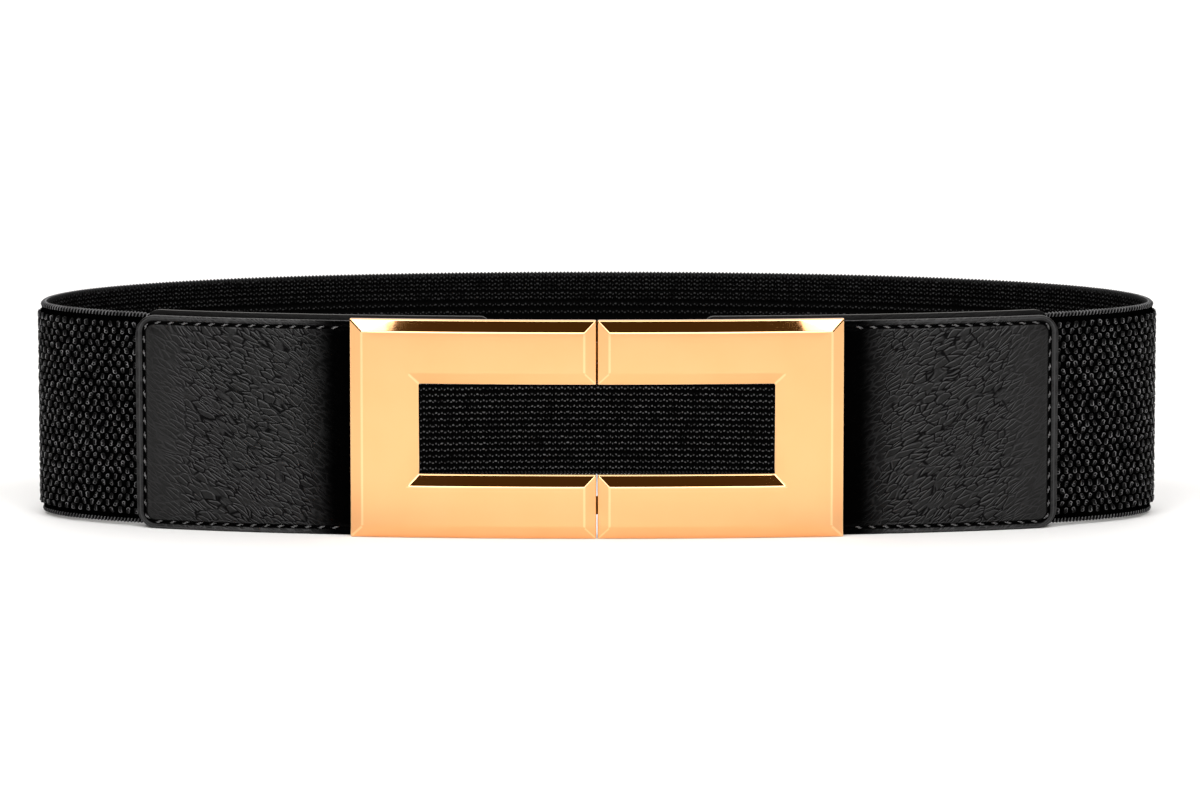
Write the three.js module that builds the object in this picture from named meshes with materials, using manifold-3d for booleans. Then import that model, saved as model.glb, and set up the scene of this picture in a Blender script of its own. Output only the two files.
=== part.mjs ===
// A wide elastic stretch belt, fastened, standing on its lower edge as a loop.
// Millimetres, +Z up. The buckle faces -Y, +X is to the right of someone who looks at the buckle.
// A woven elastic band goes round the back. At the front it is sewn between a leather tab and a leather
// backing on each side, and the tabs fold round the strap bars of a buckle made of two mirrored C frames.

import * as THREE from "three";
import { mergeVertices } from "three/addons/utils/BufferGeometryUtils.js";
import Module from "manifold-3d";

const wasm = await Module();
wasm.setup();

// The loop, measured on the outer face of the band's plain edges.
const LOOP_HALF_WIDTH = 157.4;
const LOOP_FRONT_DEPTH = 38.9;
const LOOP_BACK_DEPTH = 59.7;
const LOOP_SQUARENESS = 2.1;

// The elastic band: a flat woven band with a raised field between two plain edges.
const BAND_HEIGHT = 60;
const BAND_LIFT = 0.7;
const BAND_THICKNESS = 2.2;
const BAND_EDGE_WIDTH = 2.3;
const BAND_EDGE_ROUNDING = 0.6;
const FIELD_RISE = 0.8;
const FIELD_SLOPE = 0.5;

// The leather tab: the front layer, which folds round the strap bar.
const TAB_HEIGHT = 60.4;
const TAB_LENGTH = 61;
const TAB_THICKNESS = 1.4;
const TAB_CORNER_RADIUS = 5.7;
const TAB_EDGE_ROUNDING = 0.35;
const TAB_BORDER_WIDTH = 2.4;
const TAB_PADDING = 0.45;
const TAB_PADDING_SLOPE = 3.5;
const TAB_FLATTENING_LENGTH = 6;
const FOLD_THICKNESS = 1.0;
const FOLD_TAPER_LENGTH = 4;
const FOLD_RETURN_LENGTH = 7;
const FOLD_SHOULDER_INSET = 1.6;
const FOLD_SHOULDER_LENGTH = 0.6;

// The leather backing, against the wearer, which also runs behind the buckle's bars.
const BACKING_HEIGHT = 61;
const BACKING_LIFT = 0.3;
const BACKING_THICKNESS = 1.2;
const BACKING_EDGE_ROUNDING = 0.3;
const BACKING_REACH = 38.7;
const BACKING_TIP_RADIUS = 2.5;
const BACKING_WINDOW_MARGIN = 1.4;

// The buckle: two flat bowed C frames, bevelled all round, that meet in the middle.
const BUCKLE_WIDTH = 137.4;
const BUCKLE_HEIGHT = 61.4;
const BUCKLE_BAR_WIDTH = 18;
const BUCKLE_SIDE_WIDTH = 19.3;
const BUCKLE_BEVEL_WIDTH = 3.3;
const BUCKLE_BEVEL_DEPTH = 1.7;
const BUCKLE_WALL_DEPTH = 2.0;
const BUCKLE_BOW = 3.6;
const BUCKLE_GAP = 0.4;
const BUCKLE_STAND_OFF = 0.8;
const BUCKLE_BOW_STEPS = 6;

// The strap bar behind each frame's side, and the two lugs that carry it.
const STRAP_BAR_WIDTH = 4;
const STRAP_BAR_THICKNESS = 1.7;
const STRAP_BAR_INSET = 8;
const LUG_HEIGHT = 3.9;
const LUG_EDGE_MARGIN = 1;

// The hooks on the left frame and the pockets for them in the right frame.
const HOOK_HEIGHT = 5;
const HOOK_THICKNESS = 1.5;
const HOOK_REACH = 10;
const HOOK_ROOT_LENGTH = 12;
const HOOK_LIP_THICKNESS = 1.6;
const HOOK_LIP_HEIGHT = 1.3;
const HOOK_LIP_PLAY = 0.5;
const HOOK_POCKET_DEPTH = 1.7;

// The clearance between pieces that lie on each other, and how finely curves are stepped.
const CLEARANCE = 0.3;
const TURN_STEP = THREE.MathUtils.degToRad(4.5);
const LONGEST_STEP = 12;
const CORNER_STEPS = 5;
const FOLD_STEPS = 6;
const LOOP_SAMPLES = 2880;
const STEP_PROBE = 0.5;
const HALVINGS = 40;

// Offsets from the loop line, positive outwards, of the faces that lie on each other.
const TAB_INNER = FIELD_RISE + CLEARANCE;
const STRAP_BAR_OUTER = TAB_INNER - CLEARANCE;
const STRAP_BAR_INNER = STRAP_BAR_OUTER - STRAP_BAR_THICKNESS;
const FOLD_BACK_OUTER = STRAP_BAR_INNER - CLEARANCE;
const FOLD_BACK_INNER = FOLD_BACK_OUTER - FOLD_THICKNESS;
const BACKING_OUTER = Math.min(-BAND_THICKNESS, FOLD_BACK_INNER) - CLEARANCE;
const BACKING_INNER = BACKING_OUTER - BACKING_THICKNESS;

// The loop line in plan: two half superellipses that share their width, walked from the middle of the
// back round the left side to the middle of the front and on to the back again.
function loopPoint(turn) {
  const depth = Math.cos(turn) > 0 ? LOOP_BACK_DEPTH : LOOP_FRONT_DEPTH;
  const power = 2 / LOOP_SQUARENESS;
  const across = -Math.sign(Math.sin(turn)) * Math.abs(Math.sin(turn)) ** power;
  const along = Math.sign(Math.cos(turn)) * Math.abs(Math.cos(turn)) ** power;
  return new THREE.Vector2(LOOP_HALF_WIDTH * across, depth * along);
}

// The loop as dense samples with the distance walked to each, zero at the middle of the front.
function sampleLoop() {
  const samples = [];
  let walked = 0;
  for (let i = 0; i <= LOOP_SAMPLES; i++) {
    const point = loopPoint((2 * Math.PI * i) / LOOP_SAMPLES);
    if (i > 0) walked += point.distanceTo(samples[i - 1].point);
    samples.push({ point, walked });
  }
  for (const sample of samples) sample.distance = sample.walked - walked / 2;
  return samples;
}

const loopSamples = sampleLoop();
const LOOP_LENGTH = loopSamples[LOOP_SAMPLES].walked;

// The place on the loop line at a distance from the middle of the front, positive towards +X.
function loopAt(distance) {
  let low = 0;
  let high = LOOP_SAMPLES;
  while (high - low > 1) {
    const middle = (low + high) >> 1;
    if (loopSamples[middle].distance > distance) high = middle;
    else low = middle;
  }
  const before = loopSamples[low];
  const after = loopSamples[high];
  const share = (distance - before.distance) / (after.distance - before.distance);
  const point = before.point.clone().lerp(after.point, share);
  const along = after.point.clone().sub(before.point).normalize();
  return { point, along, outward: new THREE.Vector2(along.y, -along.x) };
}

// The distance at which the front of the loop line reaches a given x.
function distanceAtFront(x) {
  let low = 0;
  let high = LOOP_LENGTH / 4;
  for (let i = 0; i < HALVINGS; i++) {
    const middle = (low + high) / 2;
    if (loopAt(middle).point.x < x) low = middle;
    else high = middle;
  }
  return (low + high) / 2;
}

// Distances from start to end, closer where the loop turns more.
function stepsAlong(start, end) {
  const steps = [start];
  const direction = Math.sign(end - start);
  let last = loopAt(start).along;
  let lastDistance = start;
  for (let d = start; (end - d) * direction > STEP_PROBE; d += direction * STEP_PROBE) {
    const here = loopAt(d).along;
    const turned = Math.abs(last.cross(here)) > Math.sin(TURN_STEP);
    if (turned || Math.abs(d - lastDistance) > LONGEST_STEP) {
      steps.push(d);
      last = here;
      lastDistance = d;
    }
  }
  if (Math.abs(end - lastDistance) < 2 * STEP_PROBE && steps.length > 1) steps.pop();
  steps.push(end);
  return steps;
}

// A ring of a loft: a section of [outward, up] points stood up at a place in plan.
function ringAt(place, section, side = 1) {
  return section.map(([out, up]) => {
    const x = place.point.x + place.outward.x * out;
    const y = place.point.y + place.outward.y * out;
    return new THREE.Vector3(side * x, y, up);
  });
}

// One closed solid through rings with the same number of points, capped by its first and last section.
// flips says for which quads the diagonal is the other one.
function loft(rings, capSection, flips = () => false) {
  const size = rings[0].length;
  const positions = rings.flat().flatMap((p) => [p.x, p.y, p.z]);
  const indices = [];
  for (let i = 0; i + 1 < rings.length; i++) {
    for (let j = 0; j < size; j++) {
      const a = i * size + j;
      const b = i * size + ((j + 1) % size);
      const c = b + size;
      const d = a + size;
      if (flips(i, j)) indices.push(a, b, d, b, c, d);
      else indices.push(a, b, c, a, c, d);
    }
  }
  const outline = capSection.map(([out, up]) => new THREE.Vector2(out, up));
  const endStart = (rings.length - 1) * size;
  for (const [a, b, c] of THREE.ShapeUtils.triangulateShape(outline, [])) {
    indices.push(c, b, a);
    indices.push(endStart + a, endStart + b, endStart + c);
  }
  return facingOut(positions, indices);
}

// A geometry from positions and triangles, turned so that its faces point out.
function facingOut(positions, indices) {
  const corner = (index) => new THREE.Vector3().fromArray(positions, 3 * index);
  let volume = 0;
  for (let i = 0; i < indices.length; i += 3) {
    const [a, b, c] = [0, 1, 2].map((k) => corner(indices[i + k]));
    volume += a.dot(b.cross(c));
  }
  if (volume < 0) indices.reverse();
  const geometry = new THREE.BufferGeometry();
  geometry.setAttribute("position", new THREE.Float32BufferAttribute(positions, 3));
  geometry.setIndex(indices);
  return geometry;
}

// A closed geometry as a solid that can be joined and cut.
function toSolid(geometry) {
  const bare = geometry.clone();
  bare.deleteAttribute("normal");
  bare.deleteAttribute("uv");
  const merged = mergeVertices(bare);
  return new wasm.Manifold(
    new wasm.Mesh({
      numProp: 3,
      vertProperties: new Float32Array(merged.attributes.position.array),
      triVerts: new Uint32Array(merged.index.array),
    }),
  );
}

// A solid back as a geometry.
function toGeometry(solid) {
  const mesh = solid.getMesh();
  const geometry = new THREE.BufferGeometry();
  geometry.setAttribute("position", new THREE.BufferAttribute(mesh.vertProperties, 3));
  geometry.setIndex(new THREE.BufferAttribute(mesh.triVerts, 1));
  return geometry;
}

// A block between two corners.
function block(x0, x1, y0, y1, z0, z1) {
  const geometry = new THREE.BoxGeometry(Math.abs(x1 - x0), Math.abs(y1 - y0), Math.abs(z1 - z0));
  return geometry.translate((x0 + x1) / 2, (y0 + y1) / 2, (z0 + z1) / 2);
}

// How far a rounded corner draws in an edge, at a distance from the end.
function cornerInset(distance, radius) {
  if (distance >= radius) return 0;
  return radius - Math.sqrt(radius ** 2 - (radius - distance) ** 2);
}

// The distances from the end at which a rounded corner is stepped.
function cornerSteps(radius) {
  const steps = [];
  for (let i = 0; i < CORNER_STEPS; i++) {
    steps.push(radius * (1 - Math.cos((Math.PI / 2) * (i / CORNER_STEPS))));
  }
  return steps;
}

const smoothstep = THREE.MathUtils.smoothstep;

// Where things stand along the loop, for the right side. The left side mirrors it.
const BUCKLE_EDGE = distanceAtFront(BUCKLE_WIDTH / 2);
const STRAP_BAR_X = BUCKLE_WIDTH / 2 - STRAP_BAR_INSET;
const STRAP_BAR_AT = distanceAtFront(STRAP_BAR_X);
const FOLD_CENTRE_AT = STRAP_BAR_AT - STRAP_BAR_WIDTH / 2;
const FOLD_RETURN_END = STRAP_BAR_AT + FOLD_RETURN_LENGTH;
const BAND_END = FOLD_RETURN_END + STRAP_BAR_WIDTH / 2;
const TAB_END = BUCKLE_EDGE + TAB_LENGTH;

// The elastic band, from one hidden end to the other round the back.
function elasticBand() {
  const low = BAND_LIFT;
  const high = BAND_LIFT + BAND_HEIGHT;
  const inner = -BAND_THICKNESS;
  const r = BAND_EDGE_ROUNDING;
  const fieldStart = BAND_EDGE_WIDTH + FIELD_SLOPE;
  const section = [
    [inner + r, low],
    [-r, low],
    [0, low + r],
    [0, low + BAND_EDGE_WIDTH],
    [FIELD_RISE, low + fieldStart],
    [FIELD_RISE, high - fieldStart],
    [0, high - BAND_EDGE_WIDTH],
    [0, high - r],
    [-r, high],
    [inner + r, high],
    [inner, high - r],
    [inner, low + r],
  ];
  const rightHalf = stepsAlong(BAND_END, LOOP_LENGTH / 2);
  const places = [
    ...rightHalf.map((d) => ({ place: loopAt(d), side: 1 })),
    ...rightHalf.slice(0, -1).reverse().map((d) => ({ place: loopAt(d), side: -1 })),
  ];
  return loft(places.map(({ place, side }) => ringAt(place, section, side)), section);
}

// The section of the tab's front layer: inner face, rounded edges, flat border and padded middle.
function tabSection(inner, outer, inset, crown) {
  const low = inset;
  const high = TAB_HEIGHT - inset;
  const r = TAB_EDGE_ROUNDING;
  const rise = TAB_BORDER_WIDTH + TAB_PADDING_SLOPE;
  return [
    [inner, low],
    [outer - r, low],
    [outer, low + r],
    [outer, low + TAB_BORDER_WIDTH],
    [outer + crown, low + rise],
    [outer + crown, high - rise],
    [outer, high - TAB_BORDER_WIDTH],
    [outer, high - r],
    [outer - r, high],
    [inner, high],
  ];
}

// The leather tab: from its rounded outer end over the elastic to the strap bar, round it and back.
function leatherTab(side) {
  const shoulderInset = LUG_EDGE_MARGIN + LUG_HEIGHT + CLEARANCE;
  const shoulderStart = BUCKLE_EDGE - FOLD_SHOULDER_INSET;
  const shoulderEnd = shoulderStart - FOLD_SHOULDER_LENGTH;
  const barEdge = STRAP_BAR_AT + STRAP_BAR_WIDTH / 2;
  const paddingStart = TAB_END - TAB_BORDER_WIDTH;
  const paddingFull = paddingStart - TAB_PADDING_SLOPE;
  const paddingFades = BUCKLE_EDGE + TAB_FLATTENING_LENGTH;
  const distances = [
    ...cornerSteps(TAB_CORNER_RADIUS).map((fromEnd) => TAB_END - fromEnd),
    ...stepsAlong(TAB_END - TAB_CORNER_RADIUS, shoulderStart),
    paddingStart,
    paddingFull,
    paddingFades,
    (paddingFades + BUCKLE_EDGE) / 2,
    BUCKLE_EDGE,
    shoulderEnd,
    barEdge,
    FOLD_CENTRE_AT,
  ];
  distances.sort((a, b) => b - a);
  const rings = [];
  for (const d of distances) {
    const fromEnd = TAB_END - d;
    const inset = cornerInset(fromEnd, TAB_CORNER_RADIUS)
      + shoulderInset * smoothstep(-d, -shoulderStart, -shoulderEnd);
    const full = smoothstep(d, barEdge, barEdge + FOLD_TAPER_LENGTH);
    const thickness = THREE.MathUtils.lerp(FOLD_THICKNESS, TAB_THICKNESS, full);
    const padded = smoothstep(-d, -paddingStart, -paddingFull);
    const crown = TAB_PADDING * padded * smoothstep(d, BUCKLE_EDGE, paddingFades);
    const section = tabSection(TAB_INNER, TAB_INNER + thickness, inset, crown);
    rings.push(ringAt(loopAt(d), section, side));
  }
  const foldMiddle = (STRAP_BAR_OUTER + STRAP_BAR_INNER) / 2;
  const foldInner = STRAP_BAR_THICKNESS / 2 + CLEARANCE;
  const foldSection = tabSection(foldInner, foldInner + FOLD_THICKNESS, shoulderInset, 0);
  const foldPlace = loopAt(FOLD_CENTRE_AT);
  for (let i = 1; i < FOLD_STEPS; i++) {
    const turn = (Math.PI * i) / FOLD_STEPS;
    const point = foldPlace.point.clone().addScaledVector(foldPlace.outward, foldMiddle);
    const outward = foldPlace.outward.clone().multiplyScalar(Math.cos(turn))
      .addScaledVector(foldPlace.along, -Math.sin(turn));
    rings.push(ringAt({ point, outward }, foldSection, side));
  }
  const returnSection = foldSection.map(([out, up]) => [foldMiddle - out, up]);
  for (const d of [FOLD_CENTRE_AT, STRAP_BAR_AT, FOLD_RETURN_END]) {
    rings.push(ringAt(loopAt(d), returnSection, side));
  }
  const capSection = tabSection(TAB_INNER, TAB_INNER + TAB_THICKNESS, TAB_CORNER_RADIUS, 0);
  return loft(rings, capSection);
}

// The leather backing: behind the elastic and the fold, then on behind the frame with the window cut out.
function leatherBacking(side) {
  const r = BACKING_EDGE_ROUNDING;
  const tip = BUCKLE_EDGE - BACKING_REACH;
  const distances = [
    ...cornerSteps(TAB_CORNER_RADIUS).map((fromEnd) => TAB_END - fromEnd),
    ...stepsAlong(TAB_END - TAB_CORNER_RADIUS, tip + BACKING_TIP_RADIUS),
    ...cornerSteps(BACKING_TIP_RADIUS).reverse().map((fromEnd) => tip + fromEnd),
  ];
  const sectionAt = (d) => {
    const inset = cornerInset(TAB_END - d, TAB_CORNER_RADIUS) + cornerInset(d - tip, BACKING_TIP_RADIUS);
    const low = BACKING_LIFT + inset;
    const high = BACKING_LIFT + BACKING_HEIGHT - inset;
    return [
      [BACKING_INNER, low],
      [BACKING_OUTER - r, low],
      [BACKING_OUTER, low + r],
      [BACKING_OUTER, high - r],
      [BACKING_OUTER - r, high],
      [BACKING_INNER, high],
    ];
  };
  const sheet = loft(distances.map((d) => ringAt(loopAt(d), sectionAt(d), side)), sectionAt(TAB_END));
  const windowEdge = BUCKLE_WIDTH / 2 - BUCKLE_SIDE_WIDTH + BACKING_WINDOW_MARGIN;
  const window = block(
    0,
    side * windowEdge,
    -LOOP_FRONT_DEPTH - BUCKLE_STAND_OFF,
    0,
    BUCKLE_BAR_WIDTH - BACKING_WINDOW_MARGIN,
    BUCKLE_HEIGHT - BUCKLE_BAR_WIDTH + BACKING_WINDOW_MARGIN,
  );
  return toGeometry(toSolid(sheet).subtract(toSolid(window)));
}

// How far forward of its ends the buckle bows at a given x.
function bowAt(x) {
  const share = x / (BUCKLE_WIDTH / 2);
  return BUCKLE_BOW * (1 - share ** 2);
}

// The y of the back of the frames at their outer ends: it stands off the leather tab.
const BUCKLE_BACK_Y = loopAt(BUCKLE_EDGE).point.y - TAB_INNER - TAB_THICKNESS - BUCKLE_STAND_OFF;

// One C frame: four lines (outer rim, outer bevel, inner bevel, inner rim) and the back, carried from the
// lower meeting end along the lower bar, up the side and back along the upper bar.
function bevelledFrame(side) {
  const b = BUCKLE_BEVEL_WIDTH;
  const near = BUCKLE_GAP / 2;
  const outerX = BUCKLE_WIDTH / 2;
  const innerX = outerX - BUCKLE_SIDE_WIDTH;
  const bar = BUCKLE_BAR_WIDTH;
  const rim = BUCKLE_WALL_DEPTH;
  const face = BUCKLE_WALL_DEPTH + BUCKLE_BEVEL_DEPTH;
  const lines = [
    { x: outerX, inset: 0, depth: 0, raised: false },
    { x: outerX, inset: 0, depth: rim, raised: false },
    { x: outerX - b, inset: b, depth: face, raised: true },
    { x: innerX + b, inset: bar - b, depth: face, raised: true },
    { x: innerX, inset: bar, depth: rim, raised: false },
    { x: innerX, inset: bar, depth: 0, raised: false },
  ];
  const stations = [{ x: near, raised: false }];
  for (let i = 0; i <= BUCKLE_BOW_STEPS; i++) {
    const x = THREE.MathUtils.lerp(near + b, innerX - b / 2, i / BUCKLE_BOW_STEPS);
    stations.push({ x, raised: true });
  }
  stations.push({ corner: true, raised: true });
  const lower = stations.map((station) => lines.map((line) => {
    const x = station.corner ? line.x : station.x;
    const depth = line.raised && !station.raised ? rim : line.depth;
    return new THREE.Vector3(side * x, BUCKLE_BACK_Y - bowAt(x) - depth, line.inset);
  }));
  const upper = lower.map((ring) => ring.map((p) => new THREE.Vector3(p.x, p.y, BUCKLE_HEIGHT - p.z)));
  const rings = [...lower, ...upper.reverse()];
  const endSection = lines.map((line) => [line.raised ? rim : line.depth, line.inset]);
  const outerBevel = 1;
  const innerBevel = 3;
  const flips = (i, j) => {
    const atLowerEnd = i === 0;
    const atUpperEnd = i === rings.length - 2;
    if (atLowerEnd) return j === innerBevel;
    if (atUpperEnd) return j === outerBevel;
    return false;
  };
  return loft(rings, endSection, flips);
}

// The strap bar behind the frame's side, upright, with a lug at each end that joins it to the frame.
function strapBar(side) {
  const place = loopAt(STRAP_BAR_AT);
  const middle = (STRAP_BAR_OUTER + STRAP_BAR_INNER) / 2;
  const bar = new THREE.BoxGeometry(
    STRAP_BAR_WIDTH,
    STRAP_BAR_THICKNESS,
    BUCKLE_HEIGHT - 2 * LUG_EDGE_MARGIN,
  );
  bar.rotateZ(Math.atan2(place.along.y, place.along.x));
  const centre = place.point.clone().addScaledVector(place.outward, middle);
  bar.translate(centre.x, centre.y, BUCKLE_HEIGHT / 2);
  let solid = toSolid(mirrored(bar, side));
  const frontY = BUCKLE_BACK_Y - bowAt(STRAP_BAR_X) - BUCKLE_WALL_DEPTH / 2;
  const half = STRAP_BAR_WIDTH / 2;
  const lugs = [LUG_EDGE_MARGIN, BUCKLE_HEIGHT - LUG_EDGE_MARGIN - LUG_HEIGHT];
  for (const low of lugs) {
    const lug = block(STRAP_BAR_X - half, STRAP_BAR_X + half, frontY, centre.y, low, low + LUG_HEIGHT);
    solid = solid.add(toSolid(mirrored(lug, side)));
  }
  return solid;
}

// A geometry as it is for the right side, or mirrored in x for the left side.
function mirrored(geometry, side) {
  if (side > 0) return geometry;
  const bare = geometry.clone();
  const positions = Array.from(bare.attributes.position.array, (v, i) => (i % 3 === 0 ? -v : v));
  return facingOut(positions, Array.from(bare.index.array));
}

// The heights at which the hooks cross the gap, one behind each bar.
const HOOK_LEVELS = [BUCKLE_BAR_WIDTH / 2, BUCKLE_HEIGHT - BUCKLE_BAR_WIDTH / 2];
const HOOK_FRONT_Y = BUCKLE_BACK_Y - bowAt(HOOK_REACH) + CLEARANCE;

// The left frame carries a hook behind each bar: a tongue across the gap with a lip at its end.
function leftHalf() {
  let solid = toSolid(bevelledFrame(-1)).add(strapBar(-1));
  for (const level of HOOK_LEVELS) {
    const low = level - HOOK_HEIGHT / 2;
    const high = level + HOOK_HEIGHT / 2;
    const backY = HOOK_FRONT_Y + HOOK_THICKNESS;
    const rootFront = BUCKLE_BACK_Y - bowAt(HOOK_ROOT_LENGTH) - BUCKLE_WALL_DEPTH / 2;
    const root = block(-HOOK_ROOT_LENGTH, -BUCKLE_GAP, rootFront, backY, low, high);
    const tongue = block(-HOOK_ROOT_LENGTH, HOOK_REACH, HOOK_FRONT_Y, backY, low, high);
    const lip = block(
      HOOK_REACH - HOOK_LIP_THICKNESS,
      HOOK_REACH,
      HOOK_FRONT_Y - CLEARANCE - HOOK_LIP_HEIGHT,
      backY,
      low,
      high,
    );
    for (const piece of [root, tongue, lip]) solid = solid.add(toSolid(piece));
  }
  return toGeometry(solid);
}

// The right frame has a pocket in its back for each lip.
function rightHalf() {
  let solid = toSolid(bevelledFrame(1)).add(strapBar(1));
  for (const level of HOOK_LEVELS) {
    const pocket = block(
      HOOK_REACH - HOOK_LIP_THICKNESS - HOOK_LIP_PLAY,
      HOOK_REACH + HOOK_LIP_PLAY,
      HOOK_FRONT_Y - CLEARANCE - HOOK_POCKET_DEPTH,
      HOOK_FRONT_Y + HOOK_THICKNESS,
      level - HOOK_HEIGHT / 2 - HOOK_LIP_PLAY,
      level + HOOK_HEIGHT / 2 + HOOK_LIP_PLAY,
    );
    solid = solid.subtract(toSolid(pocket));
  }
  return toGeometry(solid);
}

// Finishes.
const elastic = () => new THREE.MeshStandardMaterial({ color: 0x0e0e10, roughness: 0.85, metalness: 0 });
const leather = () => new THREE.MeshStandardMaterial({ color: 0x1a1a1c, roughness: 0.5, metalness: 0 });
const gold = () => new THREE.MeshStandardMaterial({ color: 0xf3bd73, roughness: 0.12, metalness: 1 });

function piece(name, geometry, material) {
  const mesh = new THREE.Mesh(geometry, material);
  mesh.name = name;
  return mesh;
}

const belt = new THREE.Group();
belt.add(
  piece("elastic_band", elasticBand(), elastic()),
  piece("leather_tab_left", leatherTab(-1), leather()),
  piece("leather_tab_right", leatherTab(1), leather()),
  piece("leather_backing_left", leatherBacking(-1), leather()),
  piece("leather_backing_right", leatherBacking(1), leather()),
  piece("buckle_half_left", leftHalf(), gold()),
  piece("buckle_half_right", rightHalf(), gold()),
);

// The origin is on the ground under the middle of the belt's outer box.
const extent = new THREE.Box3().setFromObject(belt);
const middle = extent.getCenter(new THREE.Vector3());
belt.position.set(-middle.x, -middle.y, -extent.min.z);

export default belt;
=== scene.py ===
# %% [markdown]
# # A wide elastic stretch belt
# The belt stands on its lower edge as a loop, with a two-piece gold buckle in front. The solids of
# every piece are already made at their real size, so they are the frame of this lesson: each Blender
# piece goes exactly where its solid is, and adds what the solid leaves out. That is the woven field of
# knots, the ribs inside, the stitches, the soft leather and the crisp polished metal.
# All coordinates of the scene are metres. The real sizes are easier to read in millimetres, so the
# cells below work in millimetres and change over when a mesh is made.

# %% Load the frame
import math
import bpy
import numpy as np
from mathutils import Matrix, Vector


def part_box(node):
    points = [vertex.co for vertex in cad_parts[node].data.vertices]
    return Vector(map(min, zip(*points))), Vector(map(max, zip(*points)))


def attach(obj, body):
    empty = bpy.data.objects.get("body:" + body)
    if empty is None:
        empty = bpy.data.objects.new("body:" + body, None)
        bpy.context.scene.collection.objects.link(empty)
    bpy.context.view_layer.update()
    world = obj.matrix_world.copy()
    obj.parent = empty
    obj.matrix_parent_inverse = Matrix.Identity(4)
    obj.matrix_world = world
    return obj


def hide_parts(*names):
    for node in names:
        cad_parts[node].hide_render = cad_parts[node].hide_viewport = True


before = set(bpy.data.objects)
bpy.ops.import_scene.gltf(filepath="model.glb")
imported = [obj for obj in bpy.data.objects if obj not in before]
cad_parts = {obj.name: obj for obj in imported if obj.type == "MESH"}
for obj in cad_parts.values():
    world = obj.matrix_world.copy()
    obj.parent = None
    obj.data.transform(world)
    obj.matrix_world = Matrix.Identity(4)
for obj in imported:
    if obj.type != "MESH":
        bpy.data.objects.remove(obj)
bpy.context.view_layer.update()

MM = 0.001
scene = bpy.context.scene
print("solids:", sorted(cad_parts))

# %% [markdown]
# ## The camera
# The photograph was taken from far away with a long lens: the left and right ends of the buckle are
# nearly as tall as its middle. The height of the loop's far rim above its near rim gives the camera's
# angle, about nine degrees above the floor. A long lens two metres away gives the same picture here.

# %% Camera
CAMERA_ELEVATION = math.radians(9)
CAMERA_DISTANCE = 2.1
CAMERA_AIM = Vector((0.00085, -0.01221, 0.0329))
CAMERA_LENS = 222.72
back = Vector((0, -math.cos(CAMERA_ELEVATION), math.sin(CAMERA_ELEVATION)))
camera_data = bpy.data.cameras.new("camera")
camera_data.sensor_width = 36
camera_data.lens = CAMERA_LENS
camera_data.clip_end = 50
camera = bpy.data.objects.new("camera", camera_data)
camera.location = CAMERA_AIM + back * CAMERA_DISTANCE
camera.rotation_euler = back.to_track_quat("Z", "Y").to_euler()
scene.collection.objects.link(camera)
scene.camera = camera
print("camera height above the floor:", round(camera.location.z, 3), "m")

# %% [markdown]
# ## Studio
# Polished metal shows its surroundings, so the lights are also what the gold is painted with. The flat
# faces of the buckle look down at the pale floor in front of them, which makes them even and bright.
# The bevels that face up look at a height of about 45 degrees. Two large soft boxes stand there, left
# and right, with a dark gap between them: that gives bevels that are dark in the middle and white at
# their ends. A lower strip in front gives the leather its sheen. A light above, one over the floor
# behind and one low behind keep the floor white and draw a fine line on top edges. The small light
# brightens only the floor that the buckle mirrors. The three cards will shine on the gold alone: one
# in front, and one at the inner end of each soft box, which gives the white ends an upright limit.
# The world is a faint amber, which is what the dark bevels show.

# %% Floor and lights
FLOOR_SIZE = 14
floor_mesh = bpy.data.meshes.new("floor")
half_floor = FLOOR_SIZE / 2
floor_corners = [(x * half_floor, y * half_floor, 0) for x, y in ((-1, -1), (1, -1), (1, 1), (-1, 1))]
floor_mesh.from_pydata(floor_corners, [], [(0, 1, 2, 3)])
floor = bpy.data.objects.new("floor", floor_mesh)
scene.collection.objects.link(floor)

floor_paint = bpy.data.materials.new("floor_paint")
floor_paint.use_nodes = True
floor_shader = floor_paint.node_tree.nodes["Principled BSDF"]
floor_shader.inputs["Base Color"].default_value = (0.88, 0.88, 0.88, 1)
floor_shader.inputs["Roughness"].default_value = 0.9
floor_shader.inputs["Specular IOR Level"].default_value = 0.1
floor_mesh.materials.append(floor_paint)


def add_softbox(name, azimuth, elevation, distance, width, height, brightness, aim=(0, 0, 0.03)):
    """A rectangular light that faces its aim; azimuth 0 is in front and 90 is to the right."""
    light = bpy.data.lights.new(name, "AREA")
    light.shape = "RECTANGLE"
    light.size = width
    light.size_y = height
    light.energy = brightness * math.pi * width * height
    side, rise = math.radians(azimuth), math.radians(elevation)
    out = Vector((math.sin(side) * math.cos(rise), -math.cos(side) * math.cos(rise), math.sin(rise)))
    box = bpy.data.objects.new(name, light)
    box.location = Vector(aim) + out * distance
    box.rotation_euler = out.to_track_quat("Z", "Y").to_euler()
    box.visible_camera = False
    scene.collection.objects.link(box)
    return box


add_softbox("softbox_left", -58, 54, 1.6, 1.75, 0.5, 4.2)
add_softbox("softbox_right", 58, 54, 1.6, 1.75, 0.5, 4.2)
add_softbox("front_strip", 0, 23, 2.2, 2.8, 0.72, 3.4)
add_softbox("table_light", 0, 90, 0.38, 0.3, 0.16, 4.0, (0, -0.21, 0))
add_softbox("overhead", 180, 62, 2.4, 3.2, 2.0, 0.7)
add_softbox("background", 0, 90, 1.7, 5.0, 2.4, 2.0, (0, 2.0, 0))
add_softbox("rim_light", 180, 14, 2.6, 3.0, 0.8, 0.8)
front_card = add_softbox("front_card", 0, 5, 3.2, 5.0, 0.9, 1.3)
left_card = add_softbox("left_card", -24.1, 45, 1.6, 0.32, 0.5, 4.5)
right_card = add_softbox("right_card", 24.1, 45, 1.6, 0.32, 0.5, 4.5)

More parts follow.
